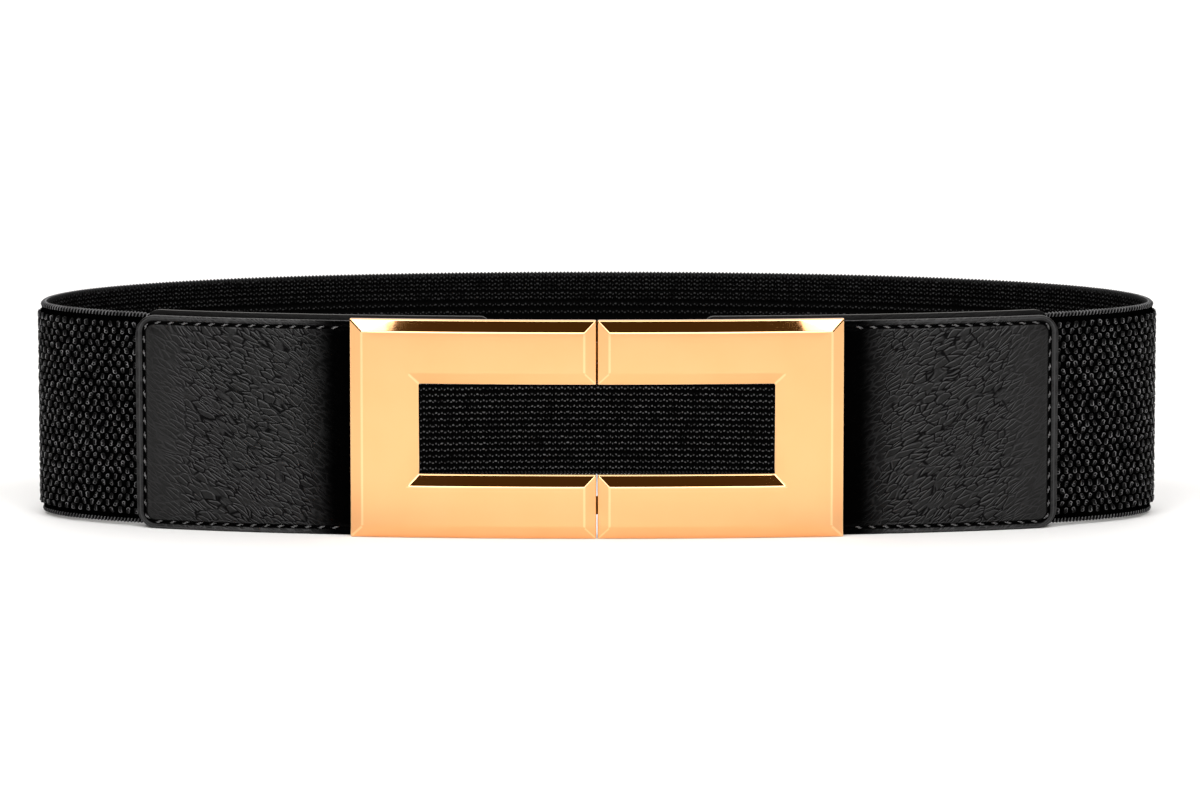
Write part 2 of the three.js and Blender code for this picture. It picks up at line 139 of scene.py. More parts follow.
world = bpy.data.worlds.new("studio")
world.use_nodes = True
world.node_tree.nodes["Background"].inputs["Color"].default_value = (1.0, 0.62, 0.2, 1)
world.node_tree.nodes["Background"].inputs["Strength"].default_value = 0.062
scene.world = world
scene.view_settings.view_transform = "Standard"
scene.view_settings.look = "None"

# %% [markdown]
# ## Meshes from arrays
# The belt has thousands of small equal things: knots, ribs, stitches. Objects for each would be slow,
# so numpy works out all their corners at once and one helper turns the arrays into a mesh. A second
# helper joins a row of rings, each with the same number of points, into a closed skin. Almost
# everything here is such a loft, because a belt is one section that is carried along a line.

# %% Mesh helpers


def add_mesh(name, points, *face_groups):
    """An object from points in millimetres and arrays of faces, one array for each number of corners."""
    points = np.asarray(points, dtype=float).reshape(-1, 3) * MM
    groups = [np.asarray(group, dtype=np.int32) for group in face_groups if len(group)]
    volume = 0.0
    for group in groups:
        for k in range(1, group.shape[1] - 1):
            a, b, c = points[group[:, 0]], points[group[:, k]], points[group[:, k + 1]]
            volume += float((a * np.cross(b, c)).sum())
    if volume < 0:
        groups = [group[:, ::-1] for group in groups]
    corners = np.concatenate([group.ravel() for group in groups])
    totals = np.concatenate([np.full(len(group), group.shape[1]) for group in groups])
    starts = np.concatenate([[0], np.cumsum(totals)[:-1]])
    mesh = bpy.data.meshes.new(name)
    mesh.vertices.add(len(points))
    mesh.vertices.foreach_set("co", points.astype(np.float32).ravel())
    mesh.loops.add(len(corners))
    mesh.loops.foreach_set("vertex_index", corners.astype(np.int32))
    mesh.polygons.add(len(totals))
    mesh.polygons.foreach_set("loop_start", starts.astype(np.int32))
    mesh.update(calc_edges=True)
    mesh.validate()
    mesh.shade_smooth()
    obj = bpy.data.objects.new(name, mesh)
    scene.collection.objects.link(obj)
    return obj


def ring_quads(rings, size):
    """Quads between neighbouring rings of the same size, closed round each ring."""
    i, j = np.meshgrid(np.arange(rings - 1), np.arange(size), indexing="ij")
    a = i * size + j
    b = i * size + (j + 1) % size
    return np.stack([a, b, b + size, a + size], axis=-1).reshape(-1, 4)


def loft(name, rings, mitres=()):
    """A closed object through an array of rings (ring, point, xyz), capped at both ends.

    mitres are (ring, point, first corner) of the quads to split along the diagonal from that corner.
    """
    count, size = rings.shape[:2]
    quads = ring_quads(count, size)
    caps = np.array([np.arange(size)[::-1], (count - 1) * size + np.arange(size)])
    split, tris = [], []
    for ring, point, first in mitres:
        split.append((ring % (count - 1)) * size + point)
        turned = np.roll(quads[split[-1]], -first)
        tris += [turned[[0, 1, 2]], turned[[0, 2, 3]]]
    return add_mesh(name, rings, np.delete(quads, split, axis=0), np.array(tris), caps)


def add_bevel(obj, name, width, angle):
    """A rounding, width in mm, of every edge that turns by more than angle."""
    bevel = obj.modifiers.new(name, "BEVEL")
    bevel.width = width * MM
    bevel.segments = 3
    bevel.limit_method = "ANGLE"
    bevel.angle_limit = angle
    return bevel


def smoothstep(x, low, high):
    """A smooth share from 0 at low to 1 at high."""
    share = np.clip((x - low) / (high - low), 0, 1)
    return share * share * (3 - 2 * share)


# %% [markdown]
# ## The loop
# Seen from above, the belt is a flattened ring: flatter in front, where the stiff buckle is, and
# deeper at the back. Two half superellipses of the same width make such a line from four numbers.
# It runs along the outer face of the elastic's plain edges. Its place is read from the solid's box,
# so that the dressed belt and the solid can't drift apart. A position on the belt is then only two
# numbers: the distance along the loop from the middle of the front, and how far out from the line.

# %% The loop line
FIELD_RISE = 0.8
LOOP_FRONT_DEPTH = 38.9
LOOP_BACK_DEPTH = 59.7
LOOP_SQUARENESS = 2.1
LOOP_STEPS = 5760
STATION_PROBES = 4000
band_low, band_high = [np.array(corner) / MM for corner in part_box("elastic_band")]
LOOP_HALF_WIDTH = band_high[0] - FIELD_RISE
LOOP_WIDEST_Y = band_high[1] - FIELD_RISE - LOOP_BACK_DEPTH

turn = np.linspace(0, 2 * np.pi, LOOP_STEPS + 1)
power = 2 / LOOP_SQUARENESS
loop_depth = np.where(np.cos(turn) > 0, LOOP_BACK_DEPTH, LOOP_FRONT_DEPTH)
loop_x = -LOOP_HALF_WIDTH * np.sign(np.sin(turn)) * np.abs(np.sin(turn)) ** power
loop_y = LOOP_WIDEST_Y + loop_depth * np.sign(np.cos(turn)) * np.abs(np.cos(turn)) ** power
walked = np.concatenate([[0], np.cumsum(np.hypot(np.diff(loop_x), np.diff(loop_y)))])
LOOP_LENGTH = walked[-1]
loop_s = walked - LOOP_LENGTH / 2
along_x = np.gradient(loop_x, loop_s)
along_y = np.gradient(loop_y, loop_s)
print("loop length:", round(LOOP_LENGTH, 1), "mm")


def loop_at(distance):
    """Points on the loop line, and the directions along it and out of it, at distances in mm."""
    s = (np.asarray(distance, dtype=float) + LOOP_LENGTH / 2) % LOOP_LENGTH - LOOP_LENGTH / 2
    point = np.stack([np.interp(s, loop_s, loop_x), np.interp(s, loop_s, loop_y)], axis=-1)
    along = np.stack([np.interp(s, loop_s, along_x), np.interp(s, loop_s, along_y)], axis=-1)
    along /= np.linalg.norm(along, axis=-1, keepdims=True)
    outward = np.stack([along[..., 1], -along[..., 0]], axis=-1)
    return point, along, outward


def on_loop(distance, out, up):
    """Points at a distance along the loop, out of it and above the floor; the three may be arrays."""
    distance, out, up = np.broadcast_arrays(distance, out, up)
    point, _, outward = loop_at(distance)
    flat = point + outward * out[..., None]
    return np.concatenate([flat, up[..., None]], axis=-1)


def stations(start, end, longest, sharpest):
    """Distances from start to end, at most longest mm apart and closer where the loop turns."""
    fine = np.linspace(start, end, STATION_PROBES)
    _, along, _ = loop_at(fine)
    heading = np.unwrap(np.arctan2(along[:, 1], along[:, 0]))
    turning = np.abs(np.gradient(heading, fine))
    density = np.maximum(1 / longest, turning / math.radians(sharpest))
    count = np.concatenate([[0], np.cumsum((density[1:] + density[:-1]) / 2 * np.diff(fine))])
    return np.interp(np.linspace(0, count[-1], math.ceil(count[-1]) + 1), count, fine)


def front_distance(x):
    """The distance along the loop at which its front reaches x, for x from 0 to the right end."""
    front = (loop_s >= 0) & (loop_s <= LOOP_LENGTH / 4)
    return float(np.interp(x, loop_x[front], loop_s[front]))


# %% [markdown]
# ## Where the pieces end
# The buckle, the strap bars behind it and the leather tabs are placed along the front of the loop.
# The numbers repeat the real sizes of the solids: the tab shows 61 mm beside the buckle, and folds
# round a flat bar 8 mm in from the buckle's end.

# %% Places along the front
BUCKLE_WIDTH = 137.4
STRAP_BAR_INSET = 8
STRAP_BAR_WIDTH = 4
STRAP_BAR_THICKNESS = 1.7
FOLD_RETURN_LENGTH = 7
TAB_LENGTH = 61
CLEARANCE = 0.3
BUCKLE_EDGE = front_distance(BUCKLE_WIDTH / 2)
STRAP_BAR_AT = front_distance(BUCKLE_WIDTH / 2 - STRAP_BAR_INSET)
BAND_END = STRAP_BAR_AT + FOLD_RETURN_LENGTH + STRAP_BAR_WIDTH / 2
TAB_END = BUCKLE_EDGE + TAB_LENGTH
print("the elastic runs", round(LOOP_LENGTH - 2 * BAND_END), "mm, from under one tab to the other")

# %% [markdown]
# ## Elastic, the woven ground
# The elastic is a heavy woven ribbon, 60 mm wide and about 2 mm thick. Inside the loop it shows long
# ribs, which are the covered rubber threads. Outside it is a dark ground for the raised knots. The
# ribs are real relief here: each adds four points to the section, and the section is lofted round
# the loop. A UV map carries the weave: u is the distance in millimetres, and v counts the ribs, whole
# at the top of each, so that the material can lay a thread on every rib wherever the rib is.

# %% Section of the ground
BAND_LOW, BAND_HIGH = band_low[2], band_high[2]
BAND_THICKNESS = 2.2
BAND_MIDDLE = (BAND_LOW + BAND_HIGH) / 2
RIB_HALF_WIDTH = 0.5
RIB_CREST_HALF_WIDTH = 0.2
RIB_RISE = 0.3
RIB_CORNERS = (
    (0, RIB_HALF_WIDTH, 0.45), (RIB_RISE, RIB_CREST_HALF_WIDTH, 0.18),
    (RIB_RISE, -RIB_CREST_HALF_WIDTH, -0.18), (0, -RIB_HALF_WIDTH, -0.45),
)
UPPER_RIBS = [11.7, 9.5, 7.5, 6.3, 4.8, 3.6, 2.4]
EVEN_RIB_PITCH = 1.8
EVEN_RIBS = 25
even_ribs = BAND_LOW + UPPER_RIBS[-1] + EVEN_RIB_PITCH * np.arange(EVEN_RIBS)
rib_heights = np.concatenate([even_ribs, BAND_HIGH - np.array(UPPER_RIBS)])

GROUND_INSET = 0.6
GROUND_INNER = -BAND_THICKNESS + RIB_RISE
GROUND_OUTER = -0.3
FIELD_BASE = 0.3
FIELD_MARGIN = 2.5
FIELD_EDGE = 0.5
section = [
    (GROUND_OUTER, BAND_LOW + GROUND_INSET, 0),
    (GROUND_OUTER, BAND_LOW + FIELD_MARGIN, 0),
    (FIELD_BASE, BAND_LOW + FIELD_MARGIN + FIELD_EDGE, 0),
    (FIELD_BASE, BAND_MIDDLE, 0),
    (FIELD_BASE, BAND_HIGH - FIELD_MARGIN - FIELD_EDGE, 0),
    (GROUND_OUTER, BAND_HIGH - FIELD_MARGIN, 0),
    (GROUND_OUTER, BAND_HIGH - GROUND_INSET, 0),
    (GROUND_INNER, BAND_HIGH - GROUND_INSET, len(rib_heights) + 0.5),
]
for number in range(len(rib_heights) - 1, -1, -1):
    for rise, beside, lap in RIB_CORNERS:
        section.append((GROUND_INNER - rise, rib_heights[number] + beside, number + lap))
section.append((GROUND_INNER, BAND_LOW + GROUND_INSET, -0.5))
section = np.array(section)
OUTER_POINTS = 8
GROUND_STEP = 2.4
GROUND_TURN = 2.6
print(len(rib_heights), "ribs,", len(section), "points in the section")

# %% The ground lofted round the loop
ground_at = stations(BAND_END, LOOP_LENGTH - BAND_END, GROUND_STEP, GROUND_TURN)
ground_rings = on_loop(ground_at[:, None], section[None, :, 0], section[None, :, 1])
ground = loft("elastic_ground", ground_rings)


def add_weave_map(obj, u, v, name="weave"):
    """A UV map from one u and one v for each vertex."""
    layer = obj.data.uv_layers.new(name=name)
    corners = np.empty(len(obj.data.loops), dtype=np.int32)
    obj.data.loops.foreach_get("vertex_index", corners)
    layer.data.foreach_set("uv", np.stack([u[corners], v[corners]], axis=-1).astype(np.float32).ravel())


u_map, v_map = np.broadcast_arrays(ground_at[:, None], section[None, :, 2])
add_weave_map(ground, u_map.ravel(), v_map.ravel())
is_inner = np.zeros(len(ground.data.polygons), dtype=np.int32)
wall = np.arange((len(ground_at) - 1) * len(section))
is_inner[wall] = wall % len(section) >= OUTER_POINTS - 1
ground.data.polygons.foreach_set("material_index", is_inner)
print("ground:", len(ground.data.polygons), "faces")

# %% [markdown]
# ## Elastic, the raised knots
# Outside, thick threads come up through the ground in small knots. Each is a ring with a pit, like an
# O, and in every second one or so a thread crosses the pit and makes an 8 of it. Rows of them are
# staggered like bricks. There are thousands, far too many to place by hand, and an image of them would
# be flat at the belt's ends, where the light grazes. So one low knot is described by a small table,
# and numpy repeats it over the whole field with slight seeded differences in turn, height and size.
# Its weave map says how raised each point is, so that the material can paint the raised crests pale,
# as a painted highlight, and the pits black, as painted shade.

# %% One knot
KNOT_OUTLINE = np.array([
    (0.48, 0.0), (0.62, 0.36), (0.52, 0.74), (0.0, 0.95), (-0.52, 0.74), (-0.62, 0.36),
    (-0.48, 0.0), (-0.62, -0.36), (-0.52, -0.74), (0.0, -0.95), (0.52, -0.74), (0.62, -0.36),
])
KNOT_LOBE = 0.36
KNOT_CREST_SHARE = 0.76
KNOT_CREST = 0.5
KNOT_PIT = 0.05
KNOT_SUNK = 0.12
sides = len(KNOT_OUTLINE)
lobe_centre = np.stack([np.zeros(sides), np.sign(np.round(KNOT_OUTLINE[:, 1], 6)) * KNOT_LOBE], axis=-1)
crest_outline = lobe_centre + (KNOT_OUTLINE - lobe_centre) * KNOT_CREST_SHARE
knot_flat = np.concatenate([KNOT_OUTLINE, crest_outline, [(0, KNOT_LOBE), (0, -KNOT_LOBE), (0, 0)]])
knot_rise = np.concatenate([
    np.full(sides, -KNOT_SUNK), np.full(sides, KNOT_CREST), [KNOT_PIT, KNOT_PIT, KNOT_PIT],
])
edge = np.arange(sides)
after = (edge + 1) % sides
knot_quads = np.stack([edge, after, after + sides, edge + sides], axis=-1)
upper, lower, middle = 2 * sides, 2 * sides + 1, 2 * sides + 2
half_way = sides // 2
knot_tris = [(sides + k, sides + (k + 1) % sides, upper if k < half_way else lower) for k in range(sides)]
knot_tris += [(sides + half_way, middle, upper), (middle, sides, upper)]
knot_tris += [(sides, middle, lower), (middle, sides + half_way, lower)]
knot_tris = np.array(knot_tris)
knot_base = np.array([np.arange(sides)[::-1]])
print("one knot:", len(knot_flat), "points")

# %% The field of knots
KNOT_ROWS = 29
KNOT_PITCH = 2.5
KNOT_FIELD_MARGIN = 3.6
knot_heights = np.linspace(BAND_LOW + KNOT_FIELD_MARGIN, BAND_HIGH - KNOT_FIELD_MARGIN, KNOT_ROWS)
KNOTS_HIDDEN = 6
KNOT_SHIFT_ALONG = 0.07
KNOT_SHIFT_UP = 0.06
KNOT_TURN = 0.16
KNOT_SIZES = (0.9, 1.08)
KNOT_SKEW = 0.28
KNOT_TILT = 0.22


def knot_field(name, side, seed):
    """Half of the field, from under one leather tab to the middle of the back, as one mesh."""
    random = np.random.default_rng(seed)
    start = TAB_END - KNOTS_HIDDEN
    columns = int((LOOP_LENGTH / 2 - start) / KNOT_PITCH)
    pitch = (LOOP_LENGTH / 2 - start) / columns
    row, column = np.meshgrid(np.arange(KNOT_ROWS), np.arange(columns), indexing="ij")
    row, column = row.ravel(), column.ravel()
    count = len(row)
    distance = LOOP_LENGTH / 2 - (column + 0.25 + 0.5 * (row % 2)) * pitch
    distance = distance + random.normal(0, KNOT_SHIFT_ALONG, count)
    height = knot_heights[row] + random.normal(0, KNOT_SHIFT_UP, count)
    angle = random.normal(0, KNOT_TURN, count)
    size = random.uniform(*KNOT_SIZES, count)
    twist = random.uniform(-KNOT_SKEW, KNOT_SKEW, count)
    across = knot_flat[None, :, 0] * size[:, None] + twist[:, None] * knot_flat[None, :, 1]
    up = knot_flat[None, :, 1] * size[:, None]
    turned_across = across * np.cos(angle)[:, None] - up * np.sin(angle)[:, None]
    turned_up = across * np.sin(angle)[:, None] + up * np.cos(angle)[:, None]
    lean = random.uniform(0, 2 * np.pi, count)[:, None]
    spot = np.arctan2(knot_flat[None, :, 1], knot_flat[None, :, 0])
    rise = knot_rise[None, :] * (1 + KNOT_TILT * np.cos(spot - lean) * (knot_rise[None, :] > KNOT_PIT))
    rise[:, middle] = random.choice([KNOT_PIT, KNOT_CREST], count)
    points = on_loop(
        side * (distance[:, None] + turned_across),
        FIELD_BASE + rise,
        height[:, None] + turned_up,
    )
    offset = (np.arange(count) * len(knot_flat))[:, None, None]
    groups = []
    for faces in (knot_quads, knot_tris, knot_base):
        groups.append((faces[None] + offset).reshape(-1, faces.shape[1]))
    obj = add_mesh(name, points, *groups)
    raised = (rise - KNOT_PIT) / (KNOT_CREST - KNOT_PIT)
    lap = np.broadcast_to(spot, rise.shape)
    add_weave_map(obj, raised.ravel(), lap.ravel())
    print(name, count, "knots,", columns, "columns")
    return obj


knots_right = knot_field("elastic_knots_right", 1, 11)
knots_left = knot_field("elastic_knots_left", -1, 12)

# %% [markdown]
# ## Elastic, the rolled edges
# Along its top and bottom the ribbon is closed by a narrow rolled edge, bound with fine thread, which
# shows as small ticks. It is a rounded tube whose thickness goes up and down slightly at every
# thread. The ticks lean a little, because the binding thread goes round the edge in a spiral. Where
# the leather closes over the elastic, the edge is tucked in, so that only the leather shows there.

# %% Rolled edges
ROLL_HEIGHT = 1.6
ROLL_DEPTH = 2.2
ROLL_TICK = 1.05
ROLL_TUCK = 0.8
ROLL_TICK_RISE = 0.2
ROLL_STEPS_PER_TICK = 4
ROLL_SIDES = 12
ROLL_SQUARENESS = 3
ROLL_SPIRAL = 1.6
TUCK_STARTS = 1
TUCK_FULL = 5
INNER_SIDE = -0.2
INNER_LAP = -2


def rolled_edge(name, low):
    """A bound edge round the whole band, from one hidden end to the other."""
    count = int((LOOP_LENGTH - 2 * BAND_END) / ROLL_TICK * ROLL_STEPS_PER_TICK)
    at = np.linspace(BAND_END, LOOP_LENGTH - BAND_END, count)[:, None]
    round_it = np.linspace(0, 2 * np.pi, ROLL_SIDES, endpoint=False)[None, :]
    cos, sin = np.cos(round_it), np.sin(round_it)
    squareness = np.abs(cos) ** ROLL_SQUARENESS + np.abs(sin) ** ROLL_SQUARENESS
    squareness = squareness ** (-1 / ROLL_SQUARENESS)
    tick = ROLL_TICK_RISE * np.cos(2 * np.pi * at / ROLL_TICK - ROLL_SPIRAL * sin)
    out = -ROLL_DEPTH / 2 + (ROLL_DEPTH / 2 - ROLL_TICK_RISE + tick) * cos * squareness
    from_front = np.minimum(at, LOOP_LENGTH - at)
    tucked = ROLL_TUCK * (1 - smoothstep(from_front, TAB_END - TUCK_FULL, TAB_END - TUCK_STARTS))
    middle = low + ROLL_HEIGHT / 2 + np.sign(BAND_MIDDLE - low) * tucked
    up = middle + (ROLL_HEIGHT / 2 - ROLL_TICK_RISE + tick) * sin * squareness
    obj = loft(name, on_loop(at, out, up))
    # The map tells the material where each tick is raised, which it paints pale as a painted highlight, and
    # where round the roll a point is: the top gets a painted highlight line and the side facing into the
    # loop painted shade.
    lap = np.where(cos < INNER_SIDE, INNER_LAP, sin)
    add_weave_map(obj, (tick / ROLL_TICK_RISE).ravel(), np.broadcast_to(lap, tick.shape).ravel())
    return obj


roll_top = rolled_edge("elastic_edge_top", BAND_HIGH - ROLL_HEIGHT)
roll_bottom = rolled_edge("elastic_edge_bottom", BAND_LOW)
print("each edge:", len(roll_top.data.polygons), "faces")

# %% [markdown]
# ## The leather tabs
# Each end of the elastic is sewn between two layers of leather. The front layer, the tab, is slightly
# padded in the middle, has a flat border with a stitched groove, and goes behind the buckle, round
# the strap bar and back. It is lofted as upright rings again. The relief comes from distances: how
# far a point is inside the tab's rounded outline, and how far from the line of stitches. With those
# two numbers the rounded edge, the groove, its corners and the padding are short formulas. The soft
# creases are the borders of long slanted cells. They are pressed in slightly, and not near the seam.

# %% Creases
CREASE_LENGTH = 4.4
CREASE_WIDTH = 1.5
CREASE_DEPTH = 0.035
CREASE_SLANT = math.radians(-37)
CREASE_BORDER = 0.42
CREASES_START = (7, 20)
CREASES_STOP = (-60, -46)
CREASE_SEED = 31
CELL_TABLE = 64


def cell_borders(x, y, seed):
    """How far each place is from the border of its cell, in a field of uneven cells of size one."""
    seats = np.random.default_rng(seed).random((CELL_TABLE, CELL_TABLE, 2))
    column, row = np.floor(x).astype(int), np.floor(y).astype(int)
    reach = []
    for i in (-1, 0, 1):
        for j in (-1, 0, 1):
            seat = seats[(column + i) % CELL_TABLE, (row + j) % CELL_TABLE]
            reach.append(np.hypot(column + i + seat[..., 0] - x, row + j + seat[..., 1] - y))
    nearest = np.sort(reach, axis=0)
    return nearest[1] - nearest[0]


def crease_depth(from_end, height, seed):
    """How deep the leather is creased at each place of a tab, in mm.

    Slow waves of one to two and a half millimetres bend the net, so that no crease runs straight.
    """
    x = from_end + 2.2 * np.sin(height / 8 + 1) + 1.1 * np.sin(from_end / 5 - height / 11)
    y = height + 2.4 * np.sin(from_end / 10 + 0.6) + 0.9 * np.sin(height / 4 + from_end / 7)
    across = (x * math.cos(CREASE_SLANT) + y * math.sin(CREASE_SLANT)) / CREASE_LENGTH
    up = (y * math.cos(CREASE_SLANT) - x * math.sin(CREASE_SLANT)) / CREASE_WIDTH
    border = cell_borders(across, up, seed)
    strong = smoothstep(from_end, *CREASES_START) * smoothstep(-from_end, *CREASES_STOP)
    patchy = 0.72 + 0.28 * np.sin(from_end / 6.1 + 2 * np.sin(height / 9)) * np.cos(height / 7.3)
    return CREASE_DEPTH * strong * patchy * (1 - smoothstep(border, 0, CREASE_BORDER))


print("creases: cells of", CREASE_LENGTH, "x", CREASE_WIDTH, "mm, at most", CREASE_DEPTH, "mm deep")

# %% Tab outline and relief
tab_low, tab_high = [np.array(corner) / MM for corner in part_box("leather_tab_right")]
TAB_LOW, TAB_HIGH = tab_low[2], tab_high[2]
TAB_MIDDLE = (TAB_LOW + TAB_HIGH) / 2
TAB_INNER = FIELD_RISE + CLEARANCE
TAB_THICKNESS = 1.4
TAB_CORNER_RADIUS = 5.7
TAB_EDGE_ROUNDING = 0.5
TAB_PADDING = 0.45
TAB_PADDING_SLOPE = 2.7
TAB_FLATTENING = 6
SEAM_INSET = 2.0
SEAM_END_INSET = 2.6
SEAM_CORNER_RADIUS = 2.9
SEAM_DEPTH = 0.5
SEAM_HALF_WIDTH = 0.6
RIM_INSET = 0.62
RIM_RISE = 0.1
RIM_WIDTH = 0.26
CREASES_TO_SEAM = (0.4, 1.5)


def inside_outline(from_end, height, end_inset, edge_inset, radius):
    """How far a point lies inside a rounded outline that is open towards the buckle, in mm."""
    past_end = end_inset + radius - from_end
    past_edge = np.abs(height - TAB_MIDDLE) - ((TAB_HIGH - TAB_LOW) / 2 - edge_inset - radius)
    outside = np.hypot(np.maximum(past_end, 0), np.maximum(past_edge, 0))
    return radius - outside - np.minimum(np.maximum(past_end, past_edge), 0)


def corner_inset(distance, radius):
    """How far a rounded corner draws an edge in, at a distance from the end."""
    short = np.maximum(radius - distance, 0)
    return radius - np.sqrt(radius**2 - short**2)


def tab_relief(from_end, height, seed):
    """The outer face's height above the tab's inner face at full thickness, in mm."""
    edge_distance = np.clip(inside_outline(from_end, height, 0, 0, TAB_CORNER_RADIUS), 0, None)
    seam_distance = inside_outline(from_end, height, SEAM_END_INSET, SEAM_INSET, SEAM_CORNER_RADIUS)
    rounding = corner_inset(edge_distance, TAB_EDGE_ROUNDING)
    fades = smoothstep(TAB_LENGTH - from_end, 0, TAB_FLATTENING)
    padding = TAB_PADDING * smoothstep(seam_distance, SEAM_HALF_WIDTH, TAB_PADDING_SLOPE) * fades
    groove = SEAM_DEPTH * np.exp(-((seam_distance / SEAM_HALF_WIDTH) ** 2))
    rim = RIM_RISE * np.exp(-(((edge_distance - RIM_INSET) / RIM_WIDTH) ** 2))
    creases = crease_depth(from_end, height, seed) * smoothstep(seam_distance, *CREASES_TO_SEAM)
    return TAB_THICKNESS - rounding + padding + rim - groove - creases


print("each tab is", round(TAB_HIGH - TAB_LOW, 1), "mm high and shows", TAB_LENGTH, "mm of its length")

# %% Rings of a tab, round the bar and back
FOLD_THICKNESS = 1.0
FOLD_TAPER = 4
SHOULDER_INSET = 5.2
SHOULDER_START = TAB_LENGTH + 1.6
SHOULDER_END = TAB_LENGTH + 2.2
EDGE_OFFSETS = [0, 0.05, 0.15, 0.3, 0.5, 0.75, 1.0, 1.3, 1.55, 1.75, 1.9, 2.0, 2.1, 2.25, 2.45,
                2.7, 3.0, 3.4, 4.0, 4.7, 5.5]
END_OFFSETS = EDGE_OFFSETS[:15] + [2.55, 2.65, 2.75, 2.9, 3.1, 3.4, 4.0, 4.7, 5.5]
BAR_OUTER = TAB_INNER - CLEARANCE
BAR_INNER = BAR_OUTER - STRAP_BAR_THICKNESS
FOLD_MIDDLE = (BAR_OUTER + BAR_INNER) / 2
FOLD_CENTRE = STRAP_BAR_AT - STRAP_BAR_WIDTH / 2
CENTRE_STEP = 0.36
BEHIND_STEP = 0.8
SHOULDER_RINGS = 4
FOLD_RINGS = 12
RETURN_RINGS = 8
FOLD_MAP_STEP = 3
FACE_FROM = 0.5
NO_SEAM = 9


def tab_rings():
    """Rings of the right tab: its distance, turn about the bar, inset and height above the inner face."""
    even = np.arange(END_OFFSETS[-1] + CENTRE_STEP, TAB_LENGTH, CENTRE_STEP)
    visible = np.concatenate([END_OFFSETS, even])
    behind = np.arange(TAB_LENGTH, TAB_END - FOLD_CENTRE, BEHIND_STEP)
    shoulder = np.linspace(SHOULDER_START, SHOULDER_END, SHOULDER_RINGS)
    from_end = np.unique(np.concatenate([visible, behind, shoulder, [TAB_END - FOLD_CENTRE]]))
    rows = [(TAB_END - d, 0.0) for d in from_end]
    rows += [(FOLD_CENTRE, turn_now) for turn_now in np.linspace(0, np.pi, FOLD_RINGS + 1)[1:]]
    returned = np.linspace(FOLD_CENTRE, STRAP_BAR_AT + FOLD_RETURN_LENGTH, RETURN_RINGS + 1)
    rows += [(d, np.pi) for d in returned[1:]]
    return np.array(rows)


def leather_tab(name, side):
    """One tab as a closed loft, with its UV map for grain that follows the leather."""
    rows = tab_rings()
    distance, fold_turn = rows[:, :1], rows[:, 1:]
    from_end = TAB_END - distance
    inset = corner_inset(from_end, TAB_CORNER_RADIUS)
    inset = inset + SHOULDER_INSET * smoothstep(from_end, SHOULDER_START, SHOULDER_END)
    inset = np.where(fold_turn > 0, SHOULDER_INSET, inset)
    low, high = TAB_LOW + inset, TAB_HIGH - inset
    edge_offsets = np.array(EDGE_OFFSETS)
    steps = int((TAB_HIGH - TAB_LOW - 2 * edge_offsets[-1]) / CENTRE_STEP)
    share = np.linspace(0, 1, steps + 1)[None, 1:-1]
    centre = low + edge_offsets[-1] + share * (high - low - 2 * edge_offsets[-1])
    height = np.concatenate([low + edge_offsets, centre, high - edge_offsets[::-1]], axis=1)
    bar_edge = STRAP_BAR_AT + STRAP_BAR_WIDTH / 2
    full = smoothstep(distance, bar_edge, bar_edge + FOLD_TAPER)
    full = np.where(fold_turn > 0, 0, full)
    thickness = FOLD_THICKNESS + (TAB_THICKNESS - FOLD_THICKNESS) * full
    relief = tab_relief(from_end, height, CREASE_SEED + side) - TAB_THICKNESS
    plain = -corner_inset(np.minimum(height - low, high - height), TAB_EDGE_ROUNDING)
    seen = smoothstep(-from_end, -SHOULDER_START, -TAB_LENGTH)
    seen = np.where(fold_turn > 0, 0, seen)
    outer = TAB_INNER + thickness + relief * seen + plain * (1 - seen)
    inner = np.full_like(low, TAB_INNER)
    out = np.concatenate([inner, outer, inner], axis=1)
    up = np.concatenate([low, height, high], axis=1)
    point, along, outward = loop_at(distance[:, 0])
    leaning = outward * np.cos(fold_turn) - along * np.sin(fold_turn)
    flat = (point + outward * FOLD_MIDDLE)[:, None, :] + leaning[:, None, :] * (out - FOLD_MIDDLE)[..., None]
    rings = np.concatenate([flat, up[..., None]], axis=-1)
    rings[..., 0] *= side
    obj = loft(name, rings)
    u, v = np.broadcast_arrays(from_end + FOLD_MAP_STEP * fold_turn, up)
    add_weave_map(obj, u.ravel(), v.ravel())
    seam = inside_outline(from_end, up, SEAM_END_INSET, SEAM_INSET, SEAM_CORNER_RADIUS)
    edge_distance = seam + SEAM_INSET
    seam = np.where(out < TAB_INNER + FACE_FROM, NO_SEAM, seam)
    add_weave_map(obj, seam.ravel(), edge_distance.ravel(), "seam")
    print(name, len(obj.data.polygons), "faces")
    return obj


tab_right = leather_tab("tab_leather_right", 1)
tab_left = leather_tab("tab_leather_left", -1)

# %% [markdown]
# ## Stitches
# A line of stitches runs 2 mm inside the tab's edge, lies in the groove, and holds tab, elastic and
# backing together, so it also shows inside the loop. Each stitch is a short two-ply thread: thick in
# the middle, diving into the leather at both ends, and twisted. Its section is two lobes that turn
# along its length. All the stitches of a tab are one mesh.

# %% Stitches along the seam
STITCH_PITCH = 3.8
STITCH_LENGTH = 2.3
STITCH_RADIUS = 0.27
STITCH_PLY = 0.45
STITCH_TWIST = 6.0
STITCH_LEAN = 0.24
STITCH_DIVE = 0.42
STITCH_START = 2.2
STITCH_SHIFT = 0.04
STITCH_LEAN_SPREAD = 0.03
STITCH_LENGTHS = (0.94, 1.04)
STITCH_TIP = 0.02
STITCH_FLATNESS = 0.8
SEAM_ARC_POINTS = 20
STITCH_RINGS = 15
STITCH_SIDES = 10
STITCH_SUNK_FRONT = 0.16
STITCH_SUNK_BACK = 0.1
PATH_STEP = 0.05
BACKING_INNER = -3.7


